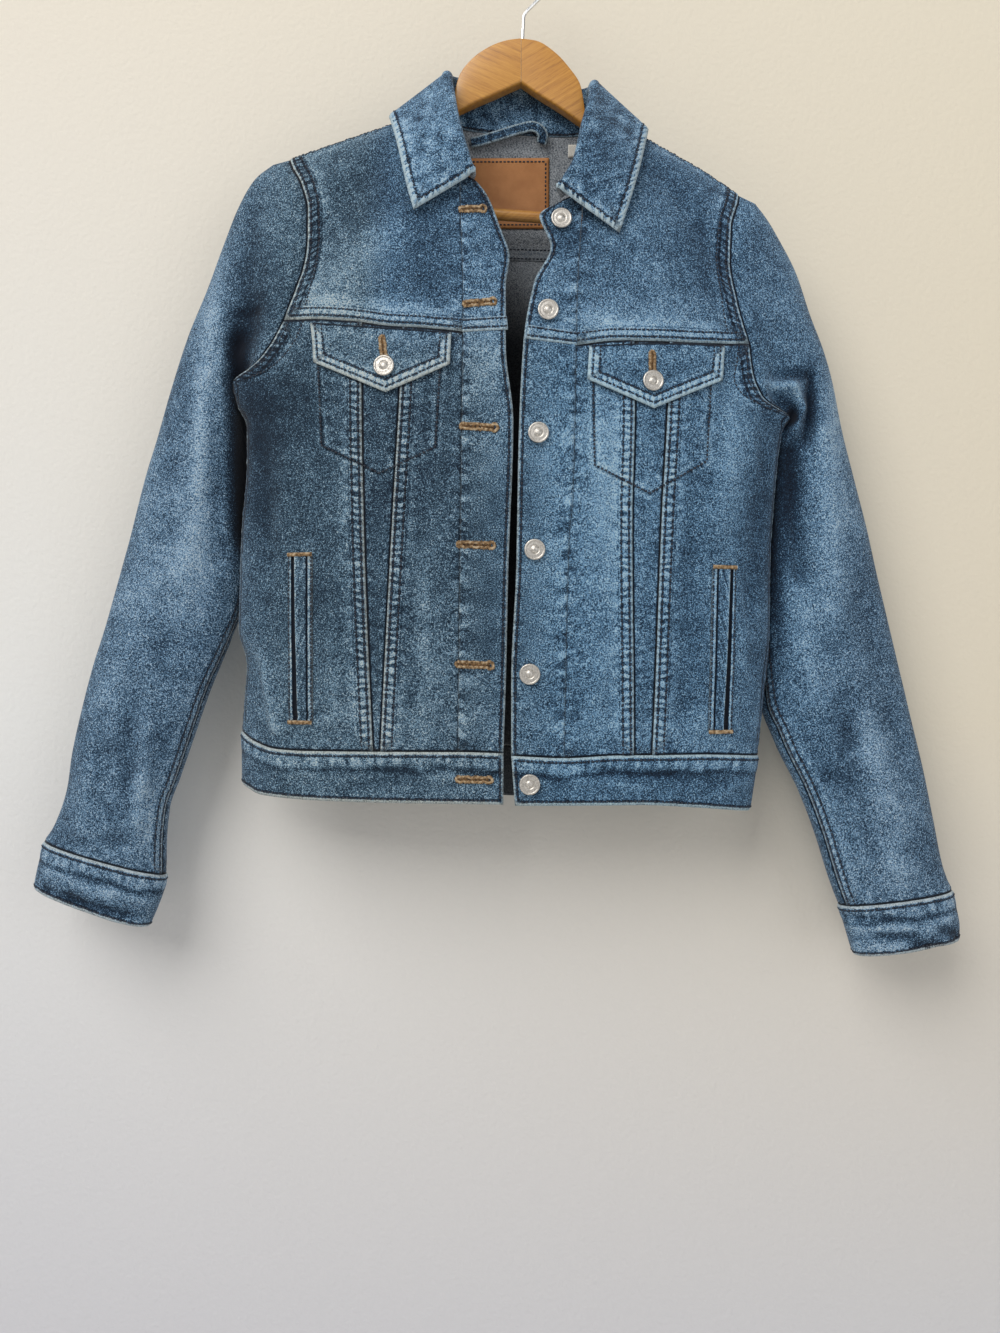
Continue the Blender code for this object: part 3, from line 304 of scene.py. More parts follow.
def smooth(xs, ys, x):
    """The value at x of a smooth curve through the points (xs, ys) that doesn't overshoot them."""
    if xs[0] > xs[-1]:
        xs, ys = xs[::-1], ys[::-1]
    steps = np.diff(xs)
    slopes = np.diff(ys) / steps
    turns = slopes[:-1] * slopes[1:]
    inner = np.where(turns > 0, 2 * turns / np.where(turns > 0, slopes[:-1] + slopes[1:], 1), 0)
    tangents = np.concatenate([slopes[:1], inner, slopes[-1:]])
    x = np.clip(x, xs[0], xs[-1])
    i = np.clip(np.searchsorted(xs, x) - 1, 0, len(steps) - 1)
    t = (x - xs[i]) / steps[i]
    rise = ys[i + 1] - ys[i]
    start, end = tangents[i] * steps[i], tangents[i + 1] * steps[i]
    return ys[i] + t * start + t**2 * (3 * rise - 2 * start - end) + t**3 * (start + end - 2 * rise)


def reaches(points):
    """Distances along a line of points from its start."""
    return np.concatenate([[0], np.cumsum(np.linalg.norm(np.diff(points, axis=0), axis=1))])


def path(points, levels):
    """Points at the given fractions of the way along a smooth curve through `points`."""
    points = np.array(points, float)
    reach = reaches(points)
    return np.stack([smooth(reach, column, np.asarray(levels) * reach[-1]) for column in points.T], -1)


def straight(points, levels):
    """Points at the given fractions along the straight lines that join `points`."""
    points = np.array(points, float)
    reach = reaches(points)
    return np.stack([np.interp(np.asarray(levels) * reach[-1], reach, column) for column in points.T], -1)


def even(count):
    return np.linspace(0, 1, count)


def chain(*parts):
    """Curves end to end as one, each shared point once."""
    return np.vstack([parts[0], *(part[1:] for part in parts[1:])])


def unit(vectors):
    return vectors / np.maximum(np.linalg.norm(vectors, axis=-1, keepdims=True), 1e-9)


def fractions(points):
    reach = reaches(points)
    return reach / reach[-1]


def net(top, bottom, left, right):
    """A grid that fills four border curves: the two blends of facing borders less that of the corners."""
    u = ((fractions(top) + fractions(bottom)) / 2)[None, :, None]
    v = ((fractions(left) + fractions(right)) / 2)[:, None, None]
    across = (1 - u) * left[:, None] + u * right[:, None]
    down = (1 - v) * top[None] + v * bottom[None]
    corners = (
        (1 - u) * (1 - v) * top[0] + u * (1 - v) * top[-1] + (1 - u) * v * bottom[0] + u * v * bottom[-1]
    )
    return across + down - corners


def grid_normals(points, wrap=False):
    """Unit normals of a grid, which face one way. With `wrap` the columns close into a ring."""
    along = np.gradient(points, axis=0)
    if wrap:
        around = (np.roll(points, -1, axis=1) - np.roll(points, 1, axis=1)) / 2
    else:
        around = np.gradient(points, axis=1)
    return unit(np.cross(along, around))


def folds(rows, x, z):
    """The height at (x, z) of the ridges and troughs in a table: a bell across each line and past its ends."""
    height = np.zeros(np.shape(x))
    for x0, z0, x1, z1, width, rise in zip(*rows.values()):
        length = math.hypot(x1 - x0, z1 - z0)
        dx, dz = (x1 - x0) / length, (z1 - z0) / length
        along = (x - x0) * dx + (z - z0) * dz
        beside = (x - x0) * dz - (z - z0) * dx
        beyond = along - np.clip(along, 0, length)
        height += rise * np.exp(-((beside / width) ** 2) - (beyond / (1.6 * width)) ** 2)
    return height


def squared_depth(x, z, face):
    """The square of the cloth's distance from the hanger's plane, zero on the border of the form."""
    below = (np.interp(x, RIDGE["x"], RIDGE["z"]) - z) / SHOULDER_FALL[face]
    over_shoulder = 1 - np.clip(1 - below, 0, None) ** RIDGE_POWER
    left = smooth(LEFT_SIDE["z"], LEFT_SIDE["x"], z)
    right = smooth(RIGHT_SIDE["z"], RIGHT_SIDE["x"], z)
    across = np.abs(x - (left + right) / 2) / ((right - left) / 2)
    return smooth(DEPTH["z"], DEPTH[face], z) ** 2 * over_shoulder * (1 - across**SIDE_POWER)


def body(points, face):
    """(points, normals) of the cloth's outer side at the front-view points (x, z), with its folds."""
    x, z = points[..., 0], points[..., 1]
    square = squared_depth(x, z, face)
    y = FACE_SIGN[face] * np.sqrt(np.clip(square, 0, None))
    step = 0.3
    slope_x = (squared_depth(x + step, z, face) - squared_depth(x - step, z, face)) / (2 * step)
    slope_z = (squared_depth(x, z + step, face) - squared_depth(x, z - step, face)) / (2 * step)
    normals = unit(np.stack([-slope_x, 2 * y, -slope_z], -1))
    fade = np.clip(square / FOLD_FADE, 0, 1)
    large, small = (FRONT_FOLDS, FRONT_CREASES) if face == "front" else (BACK_FOLDS, BACK_CREASES)
    raised = (folds(large, x, z) + folds(small, x, z)) * fade
    return np.stack([x, y, z], -1) + normals * raised[..., None], normals


def tint_at(rows, x, z):
    """How much paler (or darker) the cloth is painted at (x, z): the sum of soft oval patches in a table."""
    tint = np.zeros(np.shape(x))
    for px, pz, rx, rz, amount in zip(*rows.values()):
        tint += amount * np.exp(-(((x - px) / rx) ** 2) - ((z - pz) / rz) ** 2)
    return tint


def ripples(along, seed, wave):
    """Uneven waves about one high: four sines of nearby lengths, with phases drawn from `seed`."""
    draw = np.random.default_rng(seed)
    total = np.zeros(np.shape(along))
    for stretch in (0.62, 0.87, 1.23, 1.9):
        total += np.sin(2 * np.pi * along / (wave * stretch) + draw.uniform(0, 2 * np.pi))
    return total / 2.2


def group_tree(name, inputs, outputs):
    """An empty shader node group with the given named sockets, and its two ends."""
    made = bpy.data.node_groups.new(name, "ShaderNodeTree")
    for label, kind, value in inputs:
        socket = made.interface.new_socket(label, in_out="INPUT", socket_type=kind)
        if value is not None:
            socket.default_value = value
    for label, kind in outputs:
        made.interface.new_socket(label, in_out="OUTPUT", socket_type=kind)
    return made, made.nodes.new("NodeGroupInput"), made.nodes.new("NodeGroupOutput")


FLOAT, VECTOR, COLOUR = "NodeSocketFloat", "NodeSocketVector", "NodeSocketColor"
denim_cloth, enter, leave = group_tree(
    "denim_cloth",
    [("Weave", VECTOR, None), ("Solid", VECTOR, None), ("Seam", VECTOR, None), ("Band", FLOAT, 0.0),
     ("Tint", FLOAT, 0.0), ("Inside", FLOAT, 0.0), ("Rim", FLOAT, 0.0), ("Gain", FLOAT, 1.0),
     ("Row A", FLOAT, -1.0), ("Row B", FLOAT, -1.0),
     ("Wear", FLOAT, 1.0), ("Deep", COLOUR, (0.008, 0.020, 0.040, 1)), ("Mid", COLOUR, (0.050, 0.098, 0.162, 1)),
     ("Pale", COLOUR, (0.20, 0.355, 0.54, 1)), ("Bare", COLOUR, (0.42, 0.48, 0.51, 1)),
     ("Reverse", COLOUR, (0.36, 0.385, 0.405, 1))],
    [("Color", COLOUR), ("Height", FLOAT)],
)
g = denim_cloth
weave, solid, seam, band_width, rim = (enter.outputs[name] for name in ("Weave", "Solid", "Seam", "Band", "Rim"))
TWILL_PITCH = 0.0013
PUCKERS = ((0.0062, 16.0), (0.0125, 18.0))  # length and wander of the waves on a band, and of those beside it
# The second of these colours is the near-black of painted shade and painted shadow.
NECK_TONE, PAINTED_SHADE, DIM_INSIDE = (0.90, 0.98, 1.0, 1), (0.003, 0.005, 0.010, 1), (0.010, 0.012, 0.015, 1)


def between(tree, value, start, end, low=0.0, high=1.0, soft=False):
    """`low` to `high` as the value goes from start to end, and held there beyond them."""
    settings = {"clamp": True, "interpolation_type": "SMOOTHSTEP" if soft else "LINEAR"}
    return add_node(tree, "ShaderNodeMapRange", settings, i0=value, i1=start, i2=end, i3=low, i4=high).outputs[0]


def times(first, second, clamp=False):
    return sums(g, "MULTIPLY", first, second, clamp=clamp)


def less(first, second, clamp=False):
    return sums(g, "SUBTRACT", first, second, clamp=clamp)


def scaled(value, factor, rest, clamp=False):
    """value * factor + rest."""
    return sums(g, "MULTIPLY_ADD", value, factor, rest, clamp)


cloudy = noise(g, solid, 20, 3)
mottle = noise(g, solid, 90, 4, 0.6)
slub = noise(g, weave, 1, 2, 0.6, (900, 130, 1))
cross = noise(g, weave, 1, 2, 0.6, (150, 800, 1))
split = parted(g, weave)
diagonal = sums(g, "ADD", split["X"], times(split["Y"], 0.62))
grain = noise(g, solid, 860, 3, 0.8)
speckle = noise(g, solid, 1500, 2, 0.8)
twill = sums(g, "SINE", times(diagonal, 2 * math.pi / TWILL_PITCH))
along, across, _ = parted(g, seam)
# Puckers of a sewn band: uneven waves along it, short on the band itself and longer and weaker beside it.
drift = noise(g, seam, 1, 2, 0.5, (45, 45, 1))
patchy = between(g, noise(g, seam, 1, 2, 0.6, (90, 190, 1)), 0.34, 0.62, 0.25, 1.0)
waves = []
for period, wander in PUCKERS:
    phase = scaled(along, 2 * math.pi / period, times(drift, wander))
    waves.append(between(g, sums(g, "SINE", phase), -0.55, 0.45, -0.5, 0.5, True))
on_band = between(g, less(band_width, across), 0.0, 0.0009)
reach = less(across, band_width)
near = between(g, reach, 0.012, 0.0, soft=True)
beside_band = times(less(near, on_band, clamp=True), 0.42)
ladder = scaled(waves[0], on_band, times(waves[1], beside_band))
ladder = times(times(ladder, patchy), enter.outputs["Gain"])
# The dye is rubbed off along the folded edge of a seam. Painted shade darkens the groove beside the band, and a
# painted shadow darkens the cloth under a lapped edge.
banded = sums(g, "GREATER_THAN", band_width, 0.001)
frayed = times(noise(g, seam, 1, 3, 0.65, (360, 150, 1)), 0.0016)
rubbed = between(g, across, scaled(rim, 0.0009, sums(g, "ADD", frayed, 0.0002)),
                 scaled(rim, 0.0007, less(frayed, 0.0004)))
rubbed = times(rubbed, times(rim, 0.62, clamp=True), clamp=True)
rubbed = times(rubbed, between(g, grain, 0.40, 0.58, 0.35, 1.0))
shaded = between(g, across, 0.0021, 0.0008)
shaded = times(shaded, times(rim, -1.0, clamp=True), clamp=True)
groove = between(g, sums(g, "ABSOLUTE", less(reach, 0.0008)), 0.0012, 0.0002)
groove = times(groove, banded)
# Each stitch row sinks a groove, which is also painted darker as painted shade.
stitch_groove_shade = 0.0
for row in ("Row A", "Row B"):
    gap = sums(g, "ABSOLUTE", less(across, enter.outputs[row]))
    stitch_groove_shade = sums(g, "ADD", stitch_groove_shade, between(g, gap, 0.0014, 0.0006))
# The Tint attribute holds faded dye together with painted shade and painted highlights, so the colour from here on
# carries both.
paleness = scaled(enter.outputs["Tint"], 1.3, 0.275)
for share, value in ((0.50, cloudy), (0.64, mottle), (0.24, slub), (0.12, cross), (4.5, grain), (3.0, speckle)):
    paleness = scaled(less(value, 0.5), share, paleness)
paleness = scaled(twill, 0.03, paleness)
paleness = scaled(ladder, times(enter.outputs["Wear"], 0.95), paleness)
paleness = scaled(times(near, banded), 0.24, paleness)
turnings = times(on_band, less(rim, 1.0, clamp=True))
for value, share in ((turnings, 0.45), (groove, -0.30), (shaded, -0.80), (stitch_groove_shade, -0.62)):
    paleness = scaled(value, share, paleness)
dye_and_shade = enter.outputs["Deep"]
for start, end, name in ((0.0, 0.42, "Mid"), (0.42, 0.85, "Pale"), (0.82, 1.25, "Bare")):
    dye_and_shade = mix(g, between(g, paleness, start, end), dye_and_shade, enter.outputs[name])
dye_and_shade = mix(g, rubbed, dye_and_shade, enter.outputs["Bare"])
# The colour is greyer in the left half, bluer in the right half, and one cool tone near the neck.
x, _, z = parted(g, solid)
side_cast = ramp(g, between(g, x, -0.35, 0.35), [
    (0.12, (0.98, 0.98, 0.96)), (0.22, (1.0, 0.955, 0.85)), (0.44, (1.0, 0.955, 0.86)), (0.54, (0.84, 0.97, 1.0)),
    (0.80, (0.86, 0.97, 1.0)), (0.92, (0.98, 0.98, 0.96))])
by_the_neck = times(between(g, x, -0.135, -0.11), between(g, z, -0.37, -0.32))
side_cast = mix(g, by_the_neck, side_cast, NECK_TONE)
dye_and_shade = add_node(g, "ShaderNodeVectorMath", {"operation": "MULTIPLY"}, i0=dye_and_shade, i1=side_cast).outputs[0]
# Painted shade and shadow: the line under a lapped edge and the darkest tints, such as the armpit hollows and pocket
# slits, are painted near black.
dye_and_shade = mix(g, sums(g, "MAXIMUM", times(shaded, 0.8), between(g, paleness, -0.3, -0.9)), dye_and_shade, PAINTED_SHADE)
reverse_grain = scaled(twill, 0.25, 0.42)
reverse_grain = scaled(less(grain, 0.5), 3.5, reverse_grain, True)
inside = mix(g, reverse_grain, enter.outputs["Reverse"], enter.outputs["Deep"])
# Little light reaches the inside below the neck.
inside = mix(g, between(g, z, -0.255, -0.33, high=0.85), inside, DIM_INSIDE)
g.links.new(mix(g, enter.outputs["Inside"], dye_and_shade, inside), leave.inputs["Color"])
relief = scaled(ladder, 0.0010, times(twill, 0.00003))
for value, share in ((grain, 0.0002), (stitch_groove_shade, -0.0003), (slub, 0.0002), (mottle, 0.0008)):
    relief = scaled(value, share, relief)
g.links.new(relief, leave.inputs["Height"])


def denim(name, wear, shift=0.0):
    """A denim finish. `wear` is how rubbed its seams are, and `shift` how pale the whole cloth is."""
    made, tree, shader = new_material(name, 0.9, 0.12)
    shader.inputs["Sheen Weight"].default_value = 0.10
    shader.inputs["Sheen Roughness"].default_value = 0.5
    cloth = add_node(tree, "ShaderNodeGroup", {"node_tree": denim_cloth})
    for socket in ("Weave", "Seam"):
        tree.links.new(add_node(tree, "ShaderNodeUVMap", {"uv_map": socket.lower()}).outputs[0], cloth.inputs[socket])
    for socket in ("Band", "Tint", "Inside", "Rim", "Gain", "Row A", "Row B"):
        label = socket.lower().replace(" ", "_")
        found = add_node(tree, "ShaderNodeAttribute", {"attribute_name": label}).outputs["Fac"]
        if socket == "Tint" and shift:
            found = sums(tree, "ADD", found, shift)
        tree.links.new(found, cloth.inputs[socket])
    tree.links.new(own_place(tree), cloth.inputs["Solid"])
    cloth.inputs["Wear"].default_value = wear
    tree.links.new(cloth.outputs["Color"], shader.inputs["Base Color"])
    add_bump(tree, shader, cloth.outputs["Height"], 0.75, 1.0)
    return made


def grained(name, finish, grain, stops, rough=None, bump=None):
    """A material whose colour goes by a noise in the object's own coordinates.

    `finish` is its roughness, specular and metallic share, `grain` what the noise takes, `stops` the
    colour ramp, `rough` a ramp for the roughness, and `bump` the strength and height of its relief."""
    made, tree, shader = new_material(name, *finish)
    value = noise(tree, own_place(tree), *grain)
    tree.links.new(ramp(tree, value, stops), shader.inputs["Base Color"])
    if rough:
        tree.links.new(ramp(tree, value, rough), shader.inputs["Roughness"])
    if bump:
        add_bump(tree, shader, value, *bump)
    return made


PANEL_DENIM = denim("panel_denim", 1.0)
TRIM_DENIM = denim("trim_denim", 1.25, 0.03)


def put_mesh(name, vertices, faces, material):
    """A mesh object from points in millimetres and rows of vertex numbers, all with as many corners."""
    faces = np.asarray(faces)
    mesh = bpy.data.meshes.new(name)
    mesh.vertices.add(len(vertices))
    mesh.vertices.foreach_set("co", (np.asarray(vertices) * MM).astype(np.float32).ravel())
    corners = faces.shape[1]
    mesh.loops.add(faces.size)
    mesh.loops.foreach_set("vertex_index", faces.ravel().astype(np.int32))
    mesh.polygons.add(len(faces))
    mesh.polygons.foreach_set("loop_start", np.arange(0, faces.size, corners, dtype=np.int32))
    mesh.update(calc_edges=True)
    mesh.validate()
    mesh.shade_smooth()
    mesh.materials.append(material)
    made = bpy.data.objects.new(name, mesh)
    scene.collection.objects.link(made)
    return made


def paint(mesh, weave, seam, **values):
    """Two UV maps in metres and the named numbers, all given at the mesh's points."""
    corner = np.empty(len(mesh.loops), np.int32)
    mesh.loops.foreach_get("vertex_index", corner)
    for label, map_points in (("weave", weave), ("seam", seam)):
        layer = mesh.uv_layers.new(name=label)
        layer.data.foreach_set("uv", (map_points[corner] * MM).astype(np.float32).ravel())
    for label, numbers in values.items():
        layer = mesh.attributes.new(label, "FLOAT", "POINT")
        layer.data.foreach_set("value", numbers.astype(np.float32).ravel())


def grid_quads(rows, columns, wrap, facing):
    """Corner numbers of a shell's faces: outer side, inner side, and the rims between them."""
    i, j = np.meshgrid(np.arange(rows - 1), np.arange(columns if wrap else columns - 1), indexing="ij")
    i, j = i.ravel(), j.ravel()
    count = rows * columns
    a, b = i * columns + j, i * columns + (j + 1) % columns
    c, d = b + columns, a + columns
    quads = [np.stack([a, d, c, b], 1), np.stack([a, b, c, d], 1) + count]
    j = np.arange(columns if wrap else columns - 1)
    a, b = j, (j + 1) % columns
    last = (rows - 1) * columns
    quads += [np.stack([a, b, b + count, a + count], 1), np.stack([b, a, a + count, b + count], 1) + last]
    if not wrap:
        a = np.arange(rows - 1) * columns
        b = a + columns
        quads += [np.stack([b, a, a + count, b + count], 1), np.stack([a, b, b + count, a + count], 1) + columns - 1]
    quads = np.vstack(quads)
    return quads if facing else quads[:, ::-1]


def capped(rings, ends):
    """(points, triangles) of a tube of rings that a fan closes to each of the two end points."""
    count, around = rings.shape[:2]
    points = np.vstack([rings.reshape(-1, 3), ends])
    j, following = np.arange(around), (np.arange(around) + 1) % around
    rows = np.arange(count - 1)[:, None] * around
    a, b = (rows + j).ravel(), (rows + following).ravel()
    quads = np.stack([a, b, b + around, a + around], 1)
    last, middle = (count - 1) * around, count * around
    triangles = np.vstack([
        quads[:, (0, 1, 2)], quads[:, (0, 2, 3)], np.stack([following, j, 0 * j + middle], 1),
        np.stack([last + j, last + following, 0 * j + middle + 1], 1)])
    outwards = np.linalg.det(points[triangles] - points.mean(axis=0)).sum() > 0
    return points, triangles if outwards else triangles[:, ::-1]


def place_piece(made, node=None):
    """Puts a piece on the one body, and in the place of the solid that it dresses."""
    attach(made, "root")
    if node:
        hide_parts(node)


def inward(border, beside):
    """Unit steps from a border line towards the line beside it, square to the border."""
    along = unit(np.gradient(border, axis=0))
    step = beside - border
    return unit(step - (step * along).sum(-1, keepdims=True) * along)


def drawn_in(points, amount, wrap):
    """The grid with its border moved in by `amount`."""
    moved = points.copy()
    moved[0] += amount * inward(points[0], points[1])
    moved[-1] += amount * inward(points[-1], points[-2])
    if not wrap:
        moved[:, 0] += amount * inward(points[:, 0], points[:, 1])
        moved[:, -1] += amount * inward(points[:, -1], points[:, -2])
    return moved


def border_reaches(points):
    """For each border, the distance of every grid point from it and along it, measured on the grid.

    A grid line that meets the border at a slant counts only with the part of it that is square to it."""
    u = np.pad(np.cumsum(np.linalg.norm(np.diff(points, axis=1), axis=2), axis=1), ((0, 0), (1, 0)))
    v = np.pad(np.cumsum(np.linalg.norm(np.diff(points, axis=0), axis=2), axis=0), ((1, 0), (0, 0)))

    def squareness(border, beside):
        slant = (unit(np.gradient(border, axis=0)) * unit(beside - border)).sum(-1)
        square = np.sqrt(np.clip(1 - slant**2, 0.2, 1))
        return np.convolve(np.pad(square, 4, mode="edge"), np.full(9, 1 / 9), mode="valid")

    return {
        "top": (v * squareness(points[0], points[1]), u),
        "bottom": ((v[-1:] - v) * squareness(points[-1], points[-2]), u),
        "outer": (u * squareness(points[:, 0], points[:, 1])[:, None], v),
        "inner": ((u[:, -1:] - u) * squareness(points[:, -1], points[:, -2])[:, None], v),
    }


def line_beside(grid, normals, border, distance):
    """(points, normals) of the line at a given distance from one border of a grid."""
    reach = border_reaches(grid)[border][0]
    if border in ("top", "bottom"):
        grid, normals, reach = (np.swapaxes(array, 0, 1) for array in (grid, normals, reach))
    if border in ("bottom", "inner"):
        grid, normals, reach = grid[:, ::-1], normals[:, ::-1], reach[:, ::-1]
    k = np.clip((reach < distance).sum(axis=1) - 1, 0, reach.shape[1] - 2)
    rows = np.arange(len(grid))
    a, b = reach[rows, k], reach[rows, k + 1]
    t = ((distance - a) / np.maximum(b - a, 1e-6))[:, None]
    return [array[rows, k] * (1 - t) + array[rows, k + 1] * t for array in (grid, normals)]


THREAD = grained(
    "dark_thread", (0.7, 0.3), (260, 1), [(0.3, (0.010, 0.013, 0.022)), (0.7, (0.040, 0.045, 0.058))])
TAN_THREAD = grained(
    "tan_thread", (0.65, 0.3), (420, 2),
    [(0.32, (0.086, 0.047, 0.019)), (0.5, (0.302, 0.195, 0.098)), (0.66, (0.490, 0.390, 0.264))])
STITCH_PITCH = 3.3
ENDLESS = 1e6


def sew(name, lines, material=THREAD, pitch=STITCH_PITCH, length=2.7, width=1.3, height=0.8,
        across=False):
    """Stitches along lines of (points, normals): one small spindle of thread for each pitch of a line.
    With `across` they lie side by side across the line, as in a tack or round a buttonhole."""
    centres, tangents, ups = [], [], []
    for points, normals in lines:
        reach = reaches(points)
        count = max(1, int(reach[-1] / pitch))
        at = (np.arange(count) + 0.5) * reach[-1] / count
        centre, up, ahead, behind = (
            np.stack([np.interp(where, reach, column) for column in array.T], -1)
            for array, where in ((points, at), (normals, at), (points, at + 0.7), (points, at - 0.7))
        )
        centres.append(centre)
        ups.append(unit(up))
        tangents.append(unit(ahead - behind))
    centre, up, along = (np.vstack(parts)[:, None] for parts in (centres, ups, tangents))
    beside = unit(np.cross(along, up))
    if across:
        along, beside = beside, along
    # Each stitch is two rings of four corners between two end points.
    ring = np.array([(0, 1), (1, 0.1), (0, -0.8), (-1, 0.1)]) * (width / 2, height / 2)
    shape = np.array([(-length / 2, 0, -0.25)]
                     + [(s * 0.3 * length, b, h) for s in (-1, 1) for b, h in ring]
                     + [(length / 2, 0, -0.25)])
    corners = centre + shape[:, :1] * along + shape[:, 1:2] * beside + (shape[:, 2:] + 0.12) * up
    faces = []
    for k in range(4):
        following = (k + 1) % 4
        faces += [(0, 1 + following, 1 + k, 1 + k), (1 + k, 1 + following, 5 + following, 5 + k),
                  (5 + k, 5 + following, 9, 9)]
    faces = np.array(faces)
    all_faces = (faces[None] + 10 * np.arange(len(centre))[:, None, None]).reshape(-1, 4)
    triangles = np.vstack([all_faces[:, (0, 1, 2)], all_faces[:, (0, 2, 3)]])
    distinct = (triangles[:, 0] != triangles[:, 1]) & (triangles[:, 1] != triangles[:, 2])
    triangles = triangles[distinct & (triangles[:, 0] != triangles[:, 2])]
    made = put_mesh(name, corners.reshape(-1, 3), triangles, material)
    place_piece(made)
    return made


def edge(band=0.0, rows=(), pucker=0.5, wave=9.5, lift=0.9, free=False, rim=None, stop=ENDLESS, gain=1.0):
    """How one border is sewn: the width of its raised felled band, its stitch rows' distances from the
    border, the height of its puckers, whether it is a free, folded edge, how rubbed (or with a negative
    number, how shaded) its rim is, how far along the border the band and rows go, and how strongly the
    dye shows the puckers."""
    rim = rim if rim is not None else (1.0 if band or free else -1.0)
    return {"band": band, "rows": rows, "pucker": pucker, "wave": wave, "lift": lift, "free": free, "rim": rim,
            "stop": stop, "gain": gain}


FELLED = edge(11.0, (2.9, 9.2), 0.6)
PLAIN = edge()
BAND_STEP = 0.8  # the width over which the edge of a band rises
LAPPED, BUTTED = (0.7, 0.3), (1.5, 0.6)  # the width and depth of the dip at the two kinds of seam
ROUND_WIDTH, ROUND_SHARE = 1.4, 0.30  # how far in a free edge is rounded, and by what share of the cloth
ACROSS, DOWN = ("top", "bottom"), ("outer", "inner")
ENDS_OF = {"top": DOWN, "bottom": DOWN, "outer": ACROSS, "inner": ACROSS}  # the borders that a border meets
NO_ROW = -50.0  # the distance of a stitch row that isn't there
WEAVE_SHIFT, SEAM_SHIFT = (37.0, 53.0), 300  # these keep the grain of two pieces, or of two borders, apart


def hung_cloth(node, grid, normals, edges, material=PANEL_DENIM, thickness=CLOTH, *, seed,
               wrap=False, tints=0.0, quilt=0.0, added=False, turned=0.0):
    """One sewn piece as a thin closed shell. `grid` is its outer side, with rows from the top.

    Each border in `edges` lifts its band, dips at the seam itself and puckers by uneven waves that
    die away from it. The inner side lies `thickness` behind, and free edges are rounded off.
    `tints` and `quilt` are the shift of the cloth's paleness, which holds faded dye with painted shade and painted
    highlights, and the extra height at each point. With `added` the piece replaces no solid, and with `turned` the
    cloth's grey reverse is outside."""
    beside = border_reaches(grid)
    size = rows, columns = grid.shape[:2]
    height, band, rim, sunk = np.zeros((4, *size))
    nearest, gain = np.full(size, 1e3), np.ones(size)
    seam = np.stack([np.zeros(size), nearest], -1)
    row_a, row_b = np.full((2, *size), NO_ROW)
    for number, (border, how) in enumerate(edges.items()):
        away, along = beside[border]
        width = np.where(along < how["stop"], how["band"], 0.0)
        if how["band"]:
            step = np.clip((width + BAND_STEP - away) / BAND_STEP, 0, 1)
            height = np.maximum(height, how["lift"] * step * (width > 0))
        dip_width, dip_depth = LAPPED if how["band"] or how["free"] else BUTTED
        dip = np.exp(-((away / dip_width) ** 2))
        swell = np.exp(-(((away - 0.5 * width) / (0.5 * width + 6.5)) ** 2))
        gathered = ripples(along + 0.35 * away, seed * 17 + number, how["wave"])
        height = height + how["pucker"] * swell * gathered * (1 - 0.7 * dip) - dip_depth * dip
        closer = away < nearest
        nearest = np.where(closer, away, nearest)
        seam = np.where(closer[..., None], np.stack([along + SEAM_SHIFT * number, away], -1), seam)
        band = np.where(closer, width * MM, band)
        rim = np.where(closer, np.where(along < how["stop"], how["rim"], -1.0), rim)
        gain = np.where(closer, how["gain"], gain)
        first, second = (*how["rows"], NO_ROW, NO_ROW)[:2]
        row_a, row_b = np.where(closer, first, row_a), np.where(closer, second, row_b)
    height = height + quilt
    surface = grid + normals * height[..., None]
    facing = (grid_normals(grid, wrap) * normals).sum(-1).mean() > 0
    outer = drawn_in(surface, SEAM_GAP / 2, wrap)
    for border, how in edges.items():
        if how["free"]:
            rounding = np.clip(1 - beside[border][0] / ROUND_WIDTH, 0, 1) ** 2
            sunk = np.maximum(sunk, ROUND_SHARE * thickness * rounding)
    inner = outer - normals * (thickness - sunk)[..., None]
    outer = outer - normals * sunk[..., None]
    vertices = np.vstack([outer.reshape(-1, 3), inner.reshape(-1, 3)])
    made = put_mesh(f"{node}_cloth", vertices, grid_quads(rows, columns, wrap, facing), material)
    u, v = beside["top"][1], beside["outer"][1]
    weave = np.stack([u + WEAVE_SHIFT[0] * seed, v + WEAVE_SHIFT[1] * seed], -1).reshape(-1, 2)
    # Crests are painted paler and hollows darker: painted light and shade on the folds, together with rubbed wear on
    # the crests.
    tint = tints + 0.05 * np.clip(height - height.mean(), -1.2, 1.2)
    numbers = {"band": band, "tint": tint, "rim": rim, "gain": gain, "row_a": row_a * MM, "row_b": row_b * MM}
    numbers = {label: array.ravel() for label, array in numbers.items()}
    painted = {"weave": weave, "seam": seam.reshape(-1, 2), **numbers}
    painted = {label: np.concatenate([array, array]) for label, array in painted.items()}
    paint(made.data, **painted, inside=np.repeat([turned, 1.0], rows * columns))
    lines = []
    for border, how in edges.items():
        for k, row in enumerate(how["rows"]):  # each row ends where it meets the same row of the next border
            line = line_beside(outer, normals, border, row)
            reach = reaches(line[0])
            start, end = ((edges.get(end, PLAIN)["rows"] or (0,))[:k + 1][-1] for end in ENDS_OF[border])
            keep = (reach >= start) & (reach <= min(reach[-1] - end, how["stop"]))
            lines.append([array[keep] for array in line])
    sewn = [sew(f"{node}_stitches", lines)] if lines else []
    place_piece(made, None if added else node)
    cells = np.linalg.norm(np.cross(grid[1:, :-1] - grid[:-1, :-1], grid[:-1, 1:] - grid[:-1, :-1]), axis=2).sum()
    if wrap:
        u = np.linalg.norm(grid - np.roll(grid, 1, axis=1), axis=2).sum(axis=1)
        cells *= grid.shape[1] / (grid.shape[1] - 1)
    return made, outer


